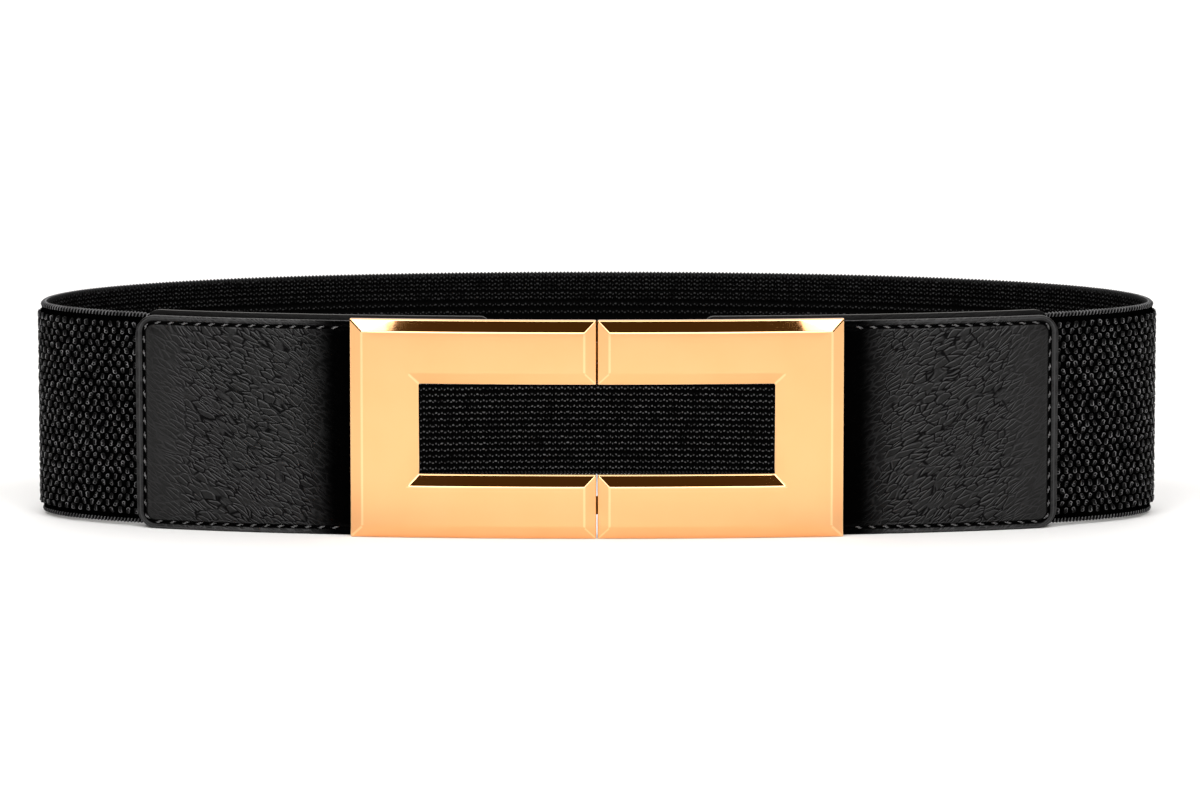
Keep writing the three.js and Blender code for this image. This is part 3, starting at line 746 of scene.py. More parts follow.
def seam_path():
    """The seam as points (distance from the tab's end, height), from the top round the end and back."""
    r = SEAM_CORNER_RADIUS
    top, bottom = TAB_HIGH - SEAM_INSET, TAB_LOW + SEAM_INSET
    arc = np.linspace(0, np.pi / 2, SEAM_ARC_POINTS)
    points = [(TAB_LENGTH - STITCH_START, top)]
    points += [(SEAM_END_INSET + r - r * math.sin(a), top - r + r * math.cos(a)) for a in arc]
    points += [(SEAM_END_INSET + r - r * math.cos(a), bottom + r - r * math.sin(a)) for a in arc]
    points += [(TAB_LENGTH - STITCH_START, bottom)]
    points = np.array(points)
    length = np.concatenate([[0], np.cumsum(np.hypot(*np.diff(points, axis=0).T))])
    return points, length


def tab_stitches(name, side, seed):
    """The stitches of one tab, on its face and on the backing's inner face, as one mesh."""
    random = np.random.default_rng(seed)
    path, length = seam_path()
    count = int(length[-1] / STITCH_PITCH)
    middles = (np.arange(count) + 0.5) * length[-1] / count + random.normal(0, STITCH_SHIFT, count)
    share = np.linspace(-1, 1, STITCH_RINGS)[None, :, None]
    theta = np.linspace(0, 2 * np.pi, STITCH_SIDES, endpoint=False)[None, None, :]
    lean = STITCH_LEAN + random.normal(0, STITCH_LEAN_SPREAD, count)[:, None, None]
    reach = STITCH_LENGTH / 2 * random.uniform(*STITCH_LENGTHS, count)[:, None, None]
    radius = STITCH_RADIUS * np.sqrt(np.clip(1 - np.abs(share) ** 3, STITCH_TIP, 1))
    radius = radius * (1 + STITCH_PLY * np.cos(2 * theta - STITCH_TWIST * share))
    sideways = radius * np.cos(theta) + lean * reach * share
    rise = radius * STITCH_FLATNESS * np.sin(theta) - STITCH_DIVE * share**2
    spot = np.broadcast_to(middles[:, None, None] + reach * share, sideways.shape)
    path_from_end = np.interp(spot, length, path[:, 0])
    path_height = np.interp(spot, length, path[:, 1])
    run = np.stack([
        np.interp(spot + PATH_STEP, length, path[:, k]) - np.interp(spot - PATH_STEP, length, path[:, k])
        for k in (0, 1)
    ])
    run = run / np.hypot(*run)
    from_end = path_from_end - run[1] * sideways
    height = path_height + run[0] * sideways
    sets = []
    front = TAB_INNER + TAB_THICKNESS - STITCH_SUNK_FRONT
    for outer, direction in ((front, 1), (BACKING_INNER + STITCH_SUNK_BACK, -1)):
        points = on_loop(TAB_END - from_end, outer + direction * rise, height)
        points[..., 0] *= side
        sets.append(points.reshape(count, -1, 3))
    one = ring_quads(STITCH_RINGS, STITCH_SIDES)
    size = STITCH_RINGS * STITCH_SIDES
    caps = np.array([np.arange(STITCH_SIDES)[::-1], size - STITCH_SIDES + np.arange(STITCH_SIDES)])
    offset = (np.arange(count) * size)[:, None, None]
    quads = (one[None] + offset).reshape(-1, 4)
    ends = (caps[None] + offset).reshape(-1, STITCH_SIDES)
    back_quads = quads[:, ::-1] + count * size
    back_ends = ends[:, ::-1] + count * size
    obj = add_mesh(name, np.concatenate(sets), quads, back_quads, ends, back_ends)
    print(name, count, "stitches on each side")
    return obj


stitches_right = tab_stitches("tab_stitches_right", 1, 21)
stitches_left = tab_stitches("tab_stitches_left", -1, 22)

# %% [markdown]
# ## The leather backings
# Against the wearer lies a plain smooth layer of leather. It is as high as the belt, goes on behind
# the buckle's bars, and is cut out behind the window, which leaves two prongs. A grid in distance and
# height gives it: rows follow the rounded corners, the cells of the cut-out are left out, and walls
# join the two faces along every edge that is left open. A bevel then rounds the cut edges.

# %% Backing
backing_low, backing_high = [np.array(corner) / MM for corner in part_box("leather_backing_right")]
BACKING_LOW, BACKING_HIGH = backing_low[2], backing_high[2]
BACKING_THICKNESS = 1.2
BACKING_OUTER = BACKING_INNER + BACKING_THICKNESS
BACKING_REACH = 38.7
BACKING_TIP_RADIUS = 2.5
WINDOW_EDGE_X = 50.8
WINDOW_LOW = 16.6
WINDOW_HIGH = 44.8
TOLERANCE = 1e-3
CUT_EDGE_ROUNDING = 0.32
CUT_EDGE_ANGLE = math.radians(50)
BACKING_CORNER_ROWS = 10
BACKING_TIP_ROWS = 8
BACKING_PLAIN_ROWS = 56
PRONG_LEVELS = 8
WINDOW_LEVELS = 12


def into_corner(radius, rows):
    """Distances into a rounded corner, at even steps round its arc."""
    return radius * (1 - np.cos(np.linspace(0, np.pi / 2, rows)))


def leather_backing(name, side):
    """One backing: two faces from a grid with a cut-out, joined along their open edges."""
    tip = BUCKLE_EDGE - BACKING_REACH
    length = TAB_END - tip
    window_at = TAB_END - front_distance(WINDOW_EDGE_X)
    rounding = into_corner(TAB_CORNER_RADIUS, BACKING_CORNER_ROWS)
    tip_rounding = length - into_corner(BACKING_TIP_RADIUS, BACKING_TIP_ROWS)
    plain = np.linspace(TAB_CORNER_RADIUS, length - BACKING_TIP_RADIUS, BACKING_PLAIN_ROWS)
    from_end = np.unique(np.round(np.concatenate([rounding, plain, tip_rounding, [window_at]]), 5))
    prong = np.linspace(0, 1, PRONG_LEVELS)
    levels = np.concatenate([
        BACKING_LOW + (WINDOW_LOW - BACKING_LOW) * prong,
        np.linspace(WINDOW_LOW, WINDOW_HIGH, WINDOW_LEVELS)[1:-1],
        WINDOW_HIGH + (BACKING_HIGH - WINDOW_HIGH) * prong,
    ])
    inset = corner_inset(from_end, TAB_CORNER_RADIUS) + corner_inset(length - from_end, BACKING_TIP_RADIUS)
    share_low = np.clip((WINDOW_LOW - levels) / (WINDOW_LOW - BACKING_LOW), 0, 1)
    share_high = np.clip((levels - WINDOW_HIGH) / (BACKING_HIGH - WINDOW_HIGH), 0, 1)
    height = levels[None, :] + inset[:, None] * (share_low - share_high)[None, :]
    outer = on_loop(TAB_END - from_end[:, None], BACKING_OUTER, height)
    inner = on_loop(TAB_END - from_end[:, None], BACKING_INNER, height)
    rows, columns = height.shape
    i, j = np.meshgrid(np.arange(rows - 1), np.arange(columns - 1), indexing="ij")
    beyond = from_end[i] >= window_at - TOLERANCE
    between = (levels[j] >= WINDOW_LOW - TOLERANCE) & (levels[j + 1] <= WINDOW_HIGH + TOLERANCE)
    in_window = beyond & between
    i, j = i[~in_window], j[~in_window]
    corner = i * columns + j
    face = np.stack([corner, corner + 1, corner + 1 + columns, corner + columns], axis=-1)
    edges = np.concatenate([face[:, [k, (k + 1) % 4]] for k in range(4)])
    _, index, uses = np.unique(np.sort(edges, axis=1), axis=0, return_index=True, return_counts=True)
    rim = edges[index[uses == 1]]
    below = rows * columns
    walls = np.stack([rim[:, 1], rim[:, 0], rim[:, 0] + below, rim[:, 1] + below], axis=-1)
    quads = np.concatenate([face, face[:, ::-1] + below, walls])
    used, quads = np.unique(quads, return_inverse=True)
    quads = quads.reshape(-1, 4)
    points = np.concatenate([outer.reshape(-1, 3), inner.reshape(-1, 3)])[used]
    flat_map = np.stack(np.broadcast_arrays(side * from_end[:, None], height), axis=-1).reshape(-1, 2)
    flat_map = np.concatenate([flat_map, flat_map])[used]
    points[:, 0] *= side
    obj = add_mesh(name, points, quads)
    add_weave_map(obj, flat_map[:, 0], flat_map[:, 1])
    add_bevel(obj, "rounded cut edges", CUT_EDGE_ROUNDING, CUT_EDGE_ANGLE)
    print(name, len(obj.data.polygons), "faces before the bevel")
    return obj


backing_right = leather_backing("backing_leather_right", 1)
backing_left = leather_backing("backing_leather_left", -1)

# %% [markdown]
# ## The buckle
# The buckle is two mirrored C frames, cast and polished, that meet in the middle. Each is flat in
# front with a bevel of 3.3 mm all round, and both together bow forward by 3.6 mm. Mirror polish shows
# every facet, so the frame is lofted with many steps along the bow, and a bevel modifier breaks all
# its edges by about a third of a millimetre: those thin rounded edges catch the bright lines. That
# is done first, while the edges are still long and clean. Behind each side an upright strap bar on two
# lugs carries the leather. The left frame has two hooks, the right one the pockets they go into.
# Booleans then join these into one body, as in the casting. Blocks that meet keep their faces up to a
# tenth of a millimetre apart, because two faces in one plane can spoil a boolean.

# %% One C frame
frame_low, frame_high = [np.array(corner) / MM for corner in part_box("buckle_half_right")]
BUCKLE_HEIGHT = frame_high[2]
BAR_WIDTH = 18
SIDE_WIDTH = 19.3
BEVEL_WIDTH = 3.3
BEVEL_DEPTH = 1.7
WALL_DEPTH = 2.0
BUCKLE_BOW = 3.6
BUCKLE_GAP = 0.4
BUCKLE_BACK_Y = frame_low[1] + BUCKLE_BOW + WALL_DEPTH + BEVEL_DEPTH
BOW_STEPS = 20
CORNER_REACH = 12
CORNER_STEPS = 12
FACE_LINES = [0, 0.15, 0.5, 0.75, 1]
CUSHION_DROP = 0.07


def bow_at(x):
    """How far forward of its ends the buckle bows at x."""
    return BUCKLE_BOW * (1 - (x / (BUCKLE_WIDTH / 2)) ** 2)


def frame_rings():
    """Rings of the right C frame, from its lower meeting end round the side to the upper one."""
    outer_x, inner_x = BUCKLE_WIDTH / 2, BUCKLE_WIDTH / 2 - SIDE_WIDTH
    rim, face = WALL_DEPTH, WALL_DEPTH + BEVEL_DEPTH
    face_x = np.interp(FACE_LINES, [0, 1], [outer_x - BEVEL_WIDTH, inner_x + BEVEL_WIDTH])
    face_inset = np.interp(FACE_LINES, [0, 1], [BEVEL_WIDTH, BAR_WIDTH - BEVEL_WIDTH])
    line_x = np.concatenate([[outer_x, outer_x], face_x, [inner_x, inner_x]])
    line_inset = np.concatenate([[0, 0], face_inset, [BAR_WIDTH, BAR_WIDTH]])
    line_depth = np.concatenate([
        [0, rim], [face - CUSHION_DROP], np.full(len(FACE_LINES) - 1, face), [rim, 0],
    ])
    near = BUCKLE_GAP / 2
    bar_x = np.linspace(near + BEVEL_WIDTH, inner_x - CORNER_REACH, BOW_STEPS + 1)
    xs = [np.full(len(line_x), x) for x in (near, *bar_x)]
    for share in np.linspace(0, 1, CORNER_STEPS + 1)[1:]:
        xs.append(bar_x[-1] + (line_x - bar_x[-1]) * share)
    xs = np.array(xs)
    depth = np.tile(line_depth, (len(xs), 1))
    depth[0] = np.minimum(depth[0], rim)
    y = BUCKLE_BACK_Y - bow_at(xs) - depth
    lower = np.stack([xs, y, np.tile(line_inset, (len(xs), 1))], axis=-1)
    upper = lower[::-1].copy()
    upper[..., 2] = BUCKLE_HEIGHT - upper[..., 2]
    return np.concatenate([lower, upper])


# The bevels meet in a mitre at both meeting ends: these are the quads that the mitre splits.
OUTER_BEVEL_LINE = 1
INNER_BEVEL_LINE = 6
FRAME_MITRES = [
    (0, OUTER_BEVEL_LINE, 0), (0, INNER_BEVEL_LINE, 1),
    (-1, OUTER_BEVEL_LINE, 1), (-1, INNER_BEVEL_LINE, 0),
]


def add_block(x0, x1, y0, y1, z0, z1, turned=0.0):
    """A block between two corners, turned about its own upright middle line."""
    x, y, z = np.meshgrid([x0, x1], [y0, y1], [z0, z1], indexing="ij")
    middle_x, middle_y = (x0 + x1) / 2, (y0 + y1) / 2
    dx, dy = x.ravel() - middle_x, y.ravel() - middle_y
    points = np.stack([
        middle_x + dx * math.cos(turned) - dy * math.sin(turned),
        middle_y + dx * math.sin(turned) + dy * math.cos(turned),
        z.ravel(),
    ], axis=-1)
    faces = [(0, 1, 3, 2), (4, 6, 7, 5), (0, 4, 5, 1), (2, 3, 7, 6), (0, 2, 6, 4), (1, 5, 7, 3)]
    return add_mesh("block", points, faces)


def keep_modifiers(body):
    """Makes the modified form of body its own mesh."""
    made = bpy.data.meshes.new_from_object(body.evaluated_get(bpy.context.evaluated_depsgraph_get()))
    body.modifiers.clear()
    body.data = made


def combine(body, tools, operation):
    """Joins or cuts body with each tool and deletes the tools."""
    for tool in tools:
        step = body.modifiers.new("combine", "BOOLEAN")
        step.operation = operation
        step.solver = "EXACT"
        step.object = tool
    keep_modifiers(body)
    for tool in tools:
        bpy.data.objects.remove(tool)


def break_edges(body, width, slot):
    """Rounds every edge that turns by more than BREAK_ANGLE; the rounding gets the paler finish of slot, a
    painted highlight.
    """
    bevel = add_bevel(body, "broken edges", width, BREAK_ANGLE)
    bevel.use_clamp_overlap = False
    bevel.material = slot
    keep_modifiers(body)


print("one C frame:", len(frame_rings()), "rings")

# %% Bars, hooks and pockets
LUG_HEIGHT = 3.9
LUG_MARGIN = 1
HOOK_HEIGHT = 5
HOOK_THICKNESS = 1.5
HOOK_REACH = 10
HOOK_ROOT = 12
HOOK_LIP_THICKNESS = 1.6
HOOK_LIP_HEIGHT = 1.3
HOOK_PLAY = 0.5
POCKET_DEPTH = 1.7
JOIN_STEP = 0.05
LUG_STEP = 0.02
BREAK_WIDTH = 0.32
BREAK_ANGLE = math.radians(12)
BACK_MARGIN = 0.1
CATCH_REACH = HOOK_ROOT + 0.5
FACE_SLOT, EDGE_SLOT, BACK_SLOT, CATCH_SLOT = 0, 1, 2, 3
GOLD_NAMES = ("buckle_gold", "buckle_gold_edges", "buckle_gold_back", "buckle_catch")
gold_slots = [bpy.data.materials.new(gold_name) for gold_name in GOLD_NAMES]
hook_levels = (BAR_WIDTH / 2, BUCKLE_HEIGHT - BAR_WIDTH / 2)
hook_front = BUCKLE_BACK_Y - bow_at(HOOK_REACH) + CLEARANCE


def is_quiet_edge(x, z):
    """Whether the rounding at x, z lies between a face and a bevel that mirror the same floor."""
    line_x = BUCKLE_WIDTH / 2 - SIDE_WIDTH + BEVEL_WIDTH
    line_z = BAR_WIDTH - BEVEL_WIDTH
    beside_window = abs(abs(x) - line_x) < BREAK_WIDTH and line_z < z < BUCKLE_HEIGHT - line_z
    above_window = abs(z - (BUCKLE_HEIGHT - line_z)) < BREAK_WIDTH and abs(x) < line_x + BREAK_WIDTH
    at_foot = abs(z - BEVEL_WIDTH) < BREAK_WIDTH
    return beside_window or above_window or at_foot


def buckle_frame(name, side):
    """One half of the buckle with its strap bar, and its hooks (left) or pockets (right)."""
    rings = frame_rings()
    rings[..., 0] *= side
    body = loft(name, rings, FRAME_MITRES)
    for finish in gold_slots:
        body.data.materials.append(finish)
    break_edges(body, BREAK_WIDTH, EDGE_SLOT)
    point, along, outward = loop_at(STRAP_BAR_AT)
    centre = point + outward * FOLD_MIDDLE
    half = STRAP_BAR_WIDTH / 2
    thick = STRAP_BAR_THICKNESS / 2
    added = [add_block(
        side * centre[0] - half, side * centre[0] + half, centre[1] - thick, centre[1] + thick,
        LUG_MARGIN, BUCKLE_HEIGHT - LUG_MARGIN, side * math.atan2(along[1], along[0]),
    )]
    bar_x = BUCKLE_WIDTH / 2 - STRAP_BAR_INSET
    lug_front = BUCKLE_BACK_Y - bow_at(bar_x) - WALL_DEPTH / 2
    for low in (LUG_MARGIN, BUCKLE_HEIGHT - LUG_MARGIN - LUG_HEIGHT):
        added.append(add_block(
            side * bar_x - half + JOIN_STEP, side * bar_x + half - JOIN_STEP, lug_front, centre[1],
            low + LUG_STEP, low + LUG_HEIGHT - LUG_STEP,
        ))
    cut = []
    for level in hook_levels:
        low, high = level - HOOK_HEIGHT / 2, level + HOOK_HEIGHT / 2
        if side < 0:
            root_front = BUCKLE_BACK_Y - bow_at(HOOK_ROOT) - WALL_DEPTH / 2
            hook_back = hook_front + HOOK_THICKNESS
            added.append(add_block(-HOOK_ROOT, -BUCKLE_GAP, root_front, hook_back, low, high))
            added.append(add_block(
                -HOOK_ROOT - 2 * JOIN_STEP, HOOK_REACH, hook_front, hook_back,
                low + JOIN_STEP, high - JOIN_STEP,
            ))
            lip_front = hook_front - CLEARANCE - HOOK_LIP_HEIGHT
            added.append(add_block(
                HOOK_REACH - HOOK_LIP_THICKNESS, HOOK_REACH - JOIN_STEP, lip_front,
                hook_back - 2 * JOIN_STEP, low + 2 * JOIN_STEP, high - 2 * JOIN_STEP,
            ))
        else:
            cut.append(add_block(
                HOOK_REACH - HOOK_LIP_THICKNESS - HOOK_PLAY, HOOK_REACH + HOOK_PLAY,
                hook_front - CLEARANCE - POCKET_DEPTH, hook_front + HOOK_THICKNESS,
                low - HOOK_PLAY, high + HOOK_PLAY,
            ))
    combine(body, added, "UNION")
    if cut:
        combine(body, cut, "DIFFERENCE")
    body.data.shade_smooth()
    even = body.modifiers.new("even reflections", "WEIGHTED_NORMAL")
    even.weight = 97
    even.thresh = 0.3
    # Faces at the back get the satin finish, and those of the catch behind the gap are painted dark, as
    # painted shade.
    for face in body.data.polygons:
        x, y, z = face.center / MM
        if y > BUCKLE_BACK_Y - bow_at(x) - BACK_MARGIN:
            face.material_index = CATCH_SLOT if abs(x) < CATCH_REACH else BACK_SLOT
        # Roundings between a face and a bevel that mirror the same floor keep the face's tint, without the
        # painted highlight.
        elif face.material_index == EDGE_SLOT and is_quiet_edge(x, z):
            face.material_index = FACE_SLOT
    print(name, len(body.data.polygons), "faces")
    return body


buckle_right = buckle_frame("buckle_frame_right", 1)
buckle_left = buckle_frame("buckle_frame_left", -1)

# %% [markdown]
# ## Materials
# Every finish is made of nodes. A small helper adds nodes by name and links them, so that the cells
# that follow read as a recipe: where the pattern comes from, how it becomes colour, roughness and
# bump. The weave map is in millimetres, so the numbers in the recipes are real sizes.

# %% Node helpers


class Recipe:
    """A material with its Principled shader, and short ways to add nodes to it."""

    def __init__(self, name):
        self.material = bpy.data.materials.get(name) or bpy.data.materials.new(name)
        self.material.use_nodes = True
        self.tree = self.material.node_tree
        self.shader = self.tree.nodes["Principled BSDF"]

    def put(self, value, socket):
        """Links an output into a socket, or sets the socket to a plain value."""
        if isinstance(value, bpy.types.NodeSocket):
            self.tree.links.new(value, socket)
        else:
            socket.default_value = value

    def node(self, kind, settings=None, **inputs):
        """A node of a kind; its settings are properties, and its inputs are named with _ for spaces."""
        made = self.tree.nodes.new("ShaderNode" + kind)
        for key, value in (settings or {}).items():
            setattr(made, key, value)
        for key, value in inputs.items():
            self.put(value, made.inputs[key.replace("_", " ")])
        return made

    def math(self, operation, a, b=0.0, c=0.0):
        """The result of an operation on up to three values or outputs."""
        made = self.tree.nodes.new("ShaderNodeMath")
        made.operation = operation
        for value, socket in zip((a, b, c), made.inputs):
            self.put(value, socket)
        return made.outputs[0]

    def times(self, a, b):
        """The product of two values or outputs."""
        return self.math("MULTIPLY", a, b)

    def noise(self, place, scale, detail, **more):
        """A share from a noise whose swells are about 1 / scale long, in the units of place."""
        return self.node("TexNoise", Vector=place, Scale=scale, Detail=detail, **more).outputs["Fac"]

    def share(self, value, low, high):
        """A smooth share from 0 where value is low to 1 where it is high."""
        made = self.node("MapRange", {"interpolation_type": "SMOOTHSTEP"}, Value=value,
                         From_Min=low, From_Max=high)
        return made.outputs["Result"]

    def mix(self, share, a, b):
        """A colour between two colours or outputs."""
        made = self.tree.nodes.new("ShaderNodeMix")
        made.data_type = "RGBA"
        self.put(share, made.inputs["Factor"])
        self.put(a, made.inputs[6])
        self.put(b, made.inputs[7])
        return made.outputs[2]

    def weave(self):
        """The two numbers of the weave map, as separate outputs."""
        place = self.node("UVMap", {"uv_map": "weave"})
        parts = self.node("SeparateXYZ", Vector=place.outputs["UV"])
        return place.outputs["UV"], parts.outputs["X"], parts.outputs["Y"]

    def bump(self, height, distance_mm, normal=None):
        """A normal for relief of a height share, on top of another normal if there is one."""
        made = self.node("Bump", Height=height, Distance=distance_mm * MM, Strength=1.0)
        if normal is not None:
            self.put(normal, made.inputs["Normal"])
        return made.outputs["Normal"]

    def finish(self, **inputs):
        """Puts the values and outputs on the Principled shader and gives the material."""
        for key, value in inputs.items():
            self.put(value, self.shader.inputs[key.replace("_", " ")])
        return self.material


def grey(value):
    """A grey a trace on the cool side, as black yarn and leather are."""
    return (value, value, value * 1.03, 1)


def in_millimetres(recipe):
    """The place on the object in millimetres."""
    place = recipe.node("TexCoord").outputs["Object"]
    scaled = recipe.node("VectorMath", {"operation": "SCALE"}, Vector=place, Scale=1 / MM)
    return scaled.outputs["Vector"]


# %% [markdown]
# ## Elastic finishes
# All of the elastic is black yarn, which is never a flat black. The knots are smooth twisted yarn with
# a faint gloss. The ground between them is matt and painted almost black with no reflection, as
# painted shade in the gaps. Inside, each rib carries a dotted zigzag thread in relief, whose pale dots
# are painted glints. The zigzag is drawn from the weave map: the distance to the rib's top is compared
# with a line that swings left and right along the rib, and dots are cut from it. The upper ribs are
# painted darker, as painted shade. Knots and rolled edges are pale only where their own map says that
# they are raised, as a painted highlight, and almost black between, as painted shade. The rolled edges
# also get a painted highlight line along their top and painted shade on the side facing into the loop.

# %% Ribs inside
THREAD_PITCH = 0.88
THREAD_WOBBLE = 1.6
THREAD_SWING = 0.18
THREAD_EDGE = (0.26, 0.1)
DOT_EDGE = (0.35, 0.7)
PAINTED_SHADE_RIBS = (14.0, 25.0)
PAINTED_SHADE_BY = 0.72


def inner_rib_finish():
    """Black ribs with a zigzag thread in relief, whose pale dots are painted glints; upper ribs in painted
    shade.
    """
    recipe = Recipe("elastic_ribs")
    place, u, v = recipe.weave()
    wobble = recipe.noise(place, 0.9, 2.0)
    phase = recipe.math("ADD", recipe.times(u, 1 / THREAD_PITCH), recipe.times(wobble, THREAD_WOBBLE))
    swing = recipe.times(recipe.math("COSINE", recipe.times(phase, math.pi)), THREAD_SWING)
    dot = recipe.math("COSINE", recipe.times(phase, 2 * math.pi))
    dot = recipe.math("MULTIPLY_ADD", dot, 0.5, 0.5)
    local = recipe.math("SUBTRACT", recipe.math("FRACT", recipe.math("ADD", v, 0.5)), 0.5)
    apart = recipe.math("ABSOLUTE", recipe.math("SUBTRACT", local, swing))
    thread = recipe.times(recipe.share(apart, *THREAD_EDGE), recipe.share(dot, *DOT_EDGE))
    uneven = recipe.noise(place, 0.35, 3.0)
    # The pale dots are painted glints of the zigzag thread, and the upper ribs are painted darker as painted
    # shade.
    painted_rib_shade = recipe.math("MULTIPLY_ADD", recipe.share(v, *PAINTED_SHADE_RIBS), -PAINTED_SHADE_BY, 1.0)
    bright = recipe.times(thread, recipe.times(painted_rib_shade, recipe.share(uneven, 0.2, 0.6)))
    colour = recipe.mix(bright, grey(0.0004), grey(0.13))
    fine = recipe.noise(place, 7.0, 2.0)
    relief = recipe.math("ADD", recipe.times(thread, 0.8), recipe.times(fine, 0.3))
    return recipe.finish(
        Base_Color=colour, Roughness=0.7, Specular_IOR_Level=0.02,
        Normal=recipe.bump(relief, 0.12),
    )


rib_finish = inner_rib_finish()
print("ribs:", rib_finish.name, "with", len(rib_finish.node_tree.nodes), "nodes")

# %% Knots, ground and edges
# The pits of knots and the gaps between ticks are painted darker by this factor, as painted shade.
PITS_DARKER = 16
# The inner side of a rolled edge is darker by this factor as painted shade; the top laps get a painted
# highlight line.
INNER_SHADE_DARKER = 4
TOP_HIGHLIGHT_LAPS = (0.8, 0.97)
INNER_SHADE_LAPS = (-1.1, -1.8)


def yarn_finish(name, dark, light, roughness, specular, ply_pitch, crests=None, top_highlight=None):
    """Black yarn: fine slanted plies as bump, slow differences in darkness, painted highlight on crests,
    painted shade in pits.
    """
    recipe = Recipe(name)
    place = in_millimetres(recipe)
    slow = recipe.noise(place, 0.22, 2.0)
    quick = recipe.noise(place, 2.6, 3.0)
    plies = recipe.node("TexWave", {"bands_direction": "DIAGONAL"}, Vector=place,
                        Scale=0.5 / ply_pitch, Distortion=2.0, Detail=1.0).outputs["Fac"]
    share = recipe.math("MULTIPLY_ADD", slow, 0.5, recipe.times(quick, 0.5))
    relief = recipe.math("ADD", recipe.times(plies, 0.6), recipe.times(quick, 0.5))
    colour = recipe.mix(recipe.share(share, 0.3, 0.7), grey(dark), grey(light))
    if crests:
        _, raised, lap = recipe.weave()
        # Where crests are given, the raised parts keep the colour as a painted highlight and the rest is
        # painted almost black, as painted shade.
        colour = recipe.mix(recipe.share(raised, *crests), grey(dark / PITS_DARKER), colour)
        if top_highlight:
            # A painted highlight line along the top of the rolled edge, and painted shade on its side that
            # faces into the loop.
            colour = recipe.mix(recipe.share(lap, *TOP_HIGHLIGHT_LAPS), colour, grey(top_highlight))
            colour = recipe.mix(recipe.share(lap, *INNER_SHADE_LAPS), colour, grey(dark / INNER_SHADE_DARKER))
    return recipe.finish(
        Base_Color=colour,
        Roughness=recipe.math("MULTIPLY_ADD", quick, 0.2, roughness - 0.1),
        Specular_IOR_Level=specular,
        Normal=recipe.bump(relief, 0.05),
    )


knot_yarn = yarn_finish(
    "elastic_knot_yarn", dark=0.04, light=0.34, roughness=0.35, specular=0.1, ply_pitch=0.3,
    crests=(0.74, 1.0),
)
# The ground between the knots is painted almost black without reflection, as painted shade in the gaps.
ground_yarn = yarn_finish(
    "elastic_ground_yarn", dark=0.0003, light=0.0008, roughness=0.9, specular=0.0, ply_pitch=0.4,
)
edge_yarn = yarn_finish(
    "elastic_edge_yarn", dark=0.06, light=0.28, roughness=0.45, specular=0.03, ply_pitch=0.3,
    crests=(0.1, 0.95), top_highlight=0.075,
)
for obj, finish in (
    (knots_left, knot_yarn), (knots_right, knot_yarn), (roll_top, edge_yarn), (roll_bottom, edge_yarn),
    (ground, ground_yarn), (ground, rib_finish),
):
    obj.data.materials.append(finish)
print("elastic finishes made")

# %% [markdown]
# ## Leather finishes
# The tabs are black leather with a fine pebble and soft creases that run down towards the buckle.
# The creases are the borders of Voronoi cells, on a place that has been stretched along a slanted
# direction and bent by noise, so that the cells become long wavy folds. The same net, moved a little,
# gives each fold a painted highlight on its crest and painted shade on its side, where the reflection
# is also taken away. They fade towards the ends, and a slow noise lets them come and go. The seam map
# paints the groove black as painted shade and draws a painted highlight line on the border, and the
# tab gets painted shade towards the buckle. The backing is the same leather, plain and smoother, and
# the stitches are waxed thread.

# %% Leather
FOLD_BENDS = ((0.06, 4.0), (0.32, 0.7))
FOLD_CELL = (4.0, 1.15, 1)
FOLD_LINE = (0.15, 0.02)
FOLD_SHIFT = 0.24
FOLDS_START = (5.0, 18.0)
FOLDS_STOP = (62.0, 50.0)
FOLDS_LEFT = 0.2
FOLDS_COME = (0.24, 0.52)
BORDER_FROM = (-0.4, -0.8)
BORDER_COMES = (0.35, 0.65)
RIM_HIGHLIGHT_BEGINS = (0.35, 0.5)
RIM_HIGHLIGHT_ENDS = (0.85, 0.65)
GROOVE_EDGE = (0.8, 0.45)
FOLDS_BESIDE_GROOVE = (0.3, 1.2)
BUCKLE_SHADE = (TAB_LENGTH - 18, TAB_LENGTH - 4)


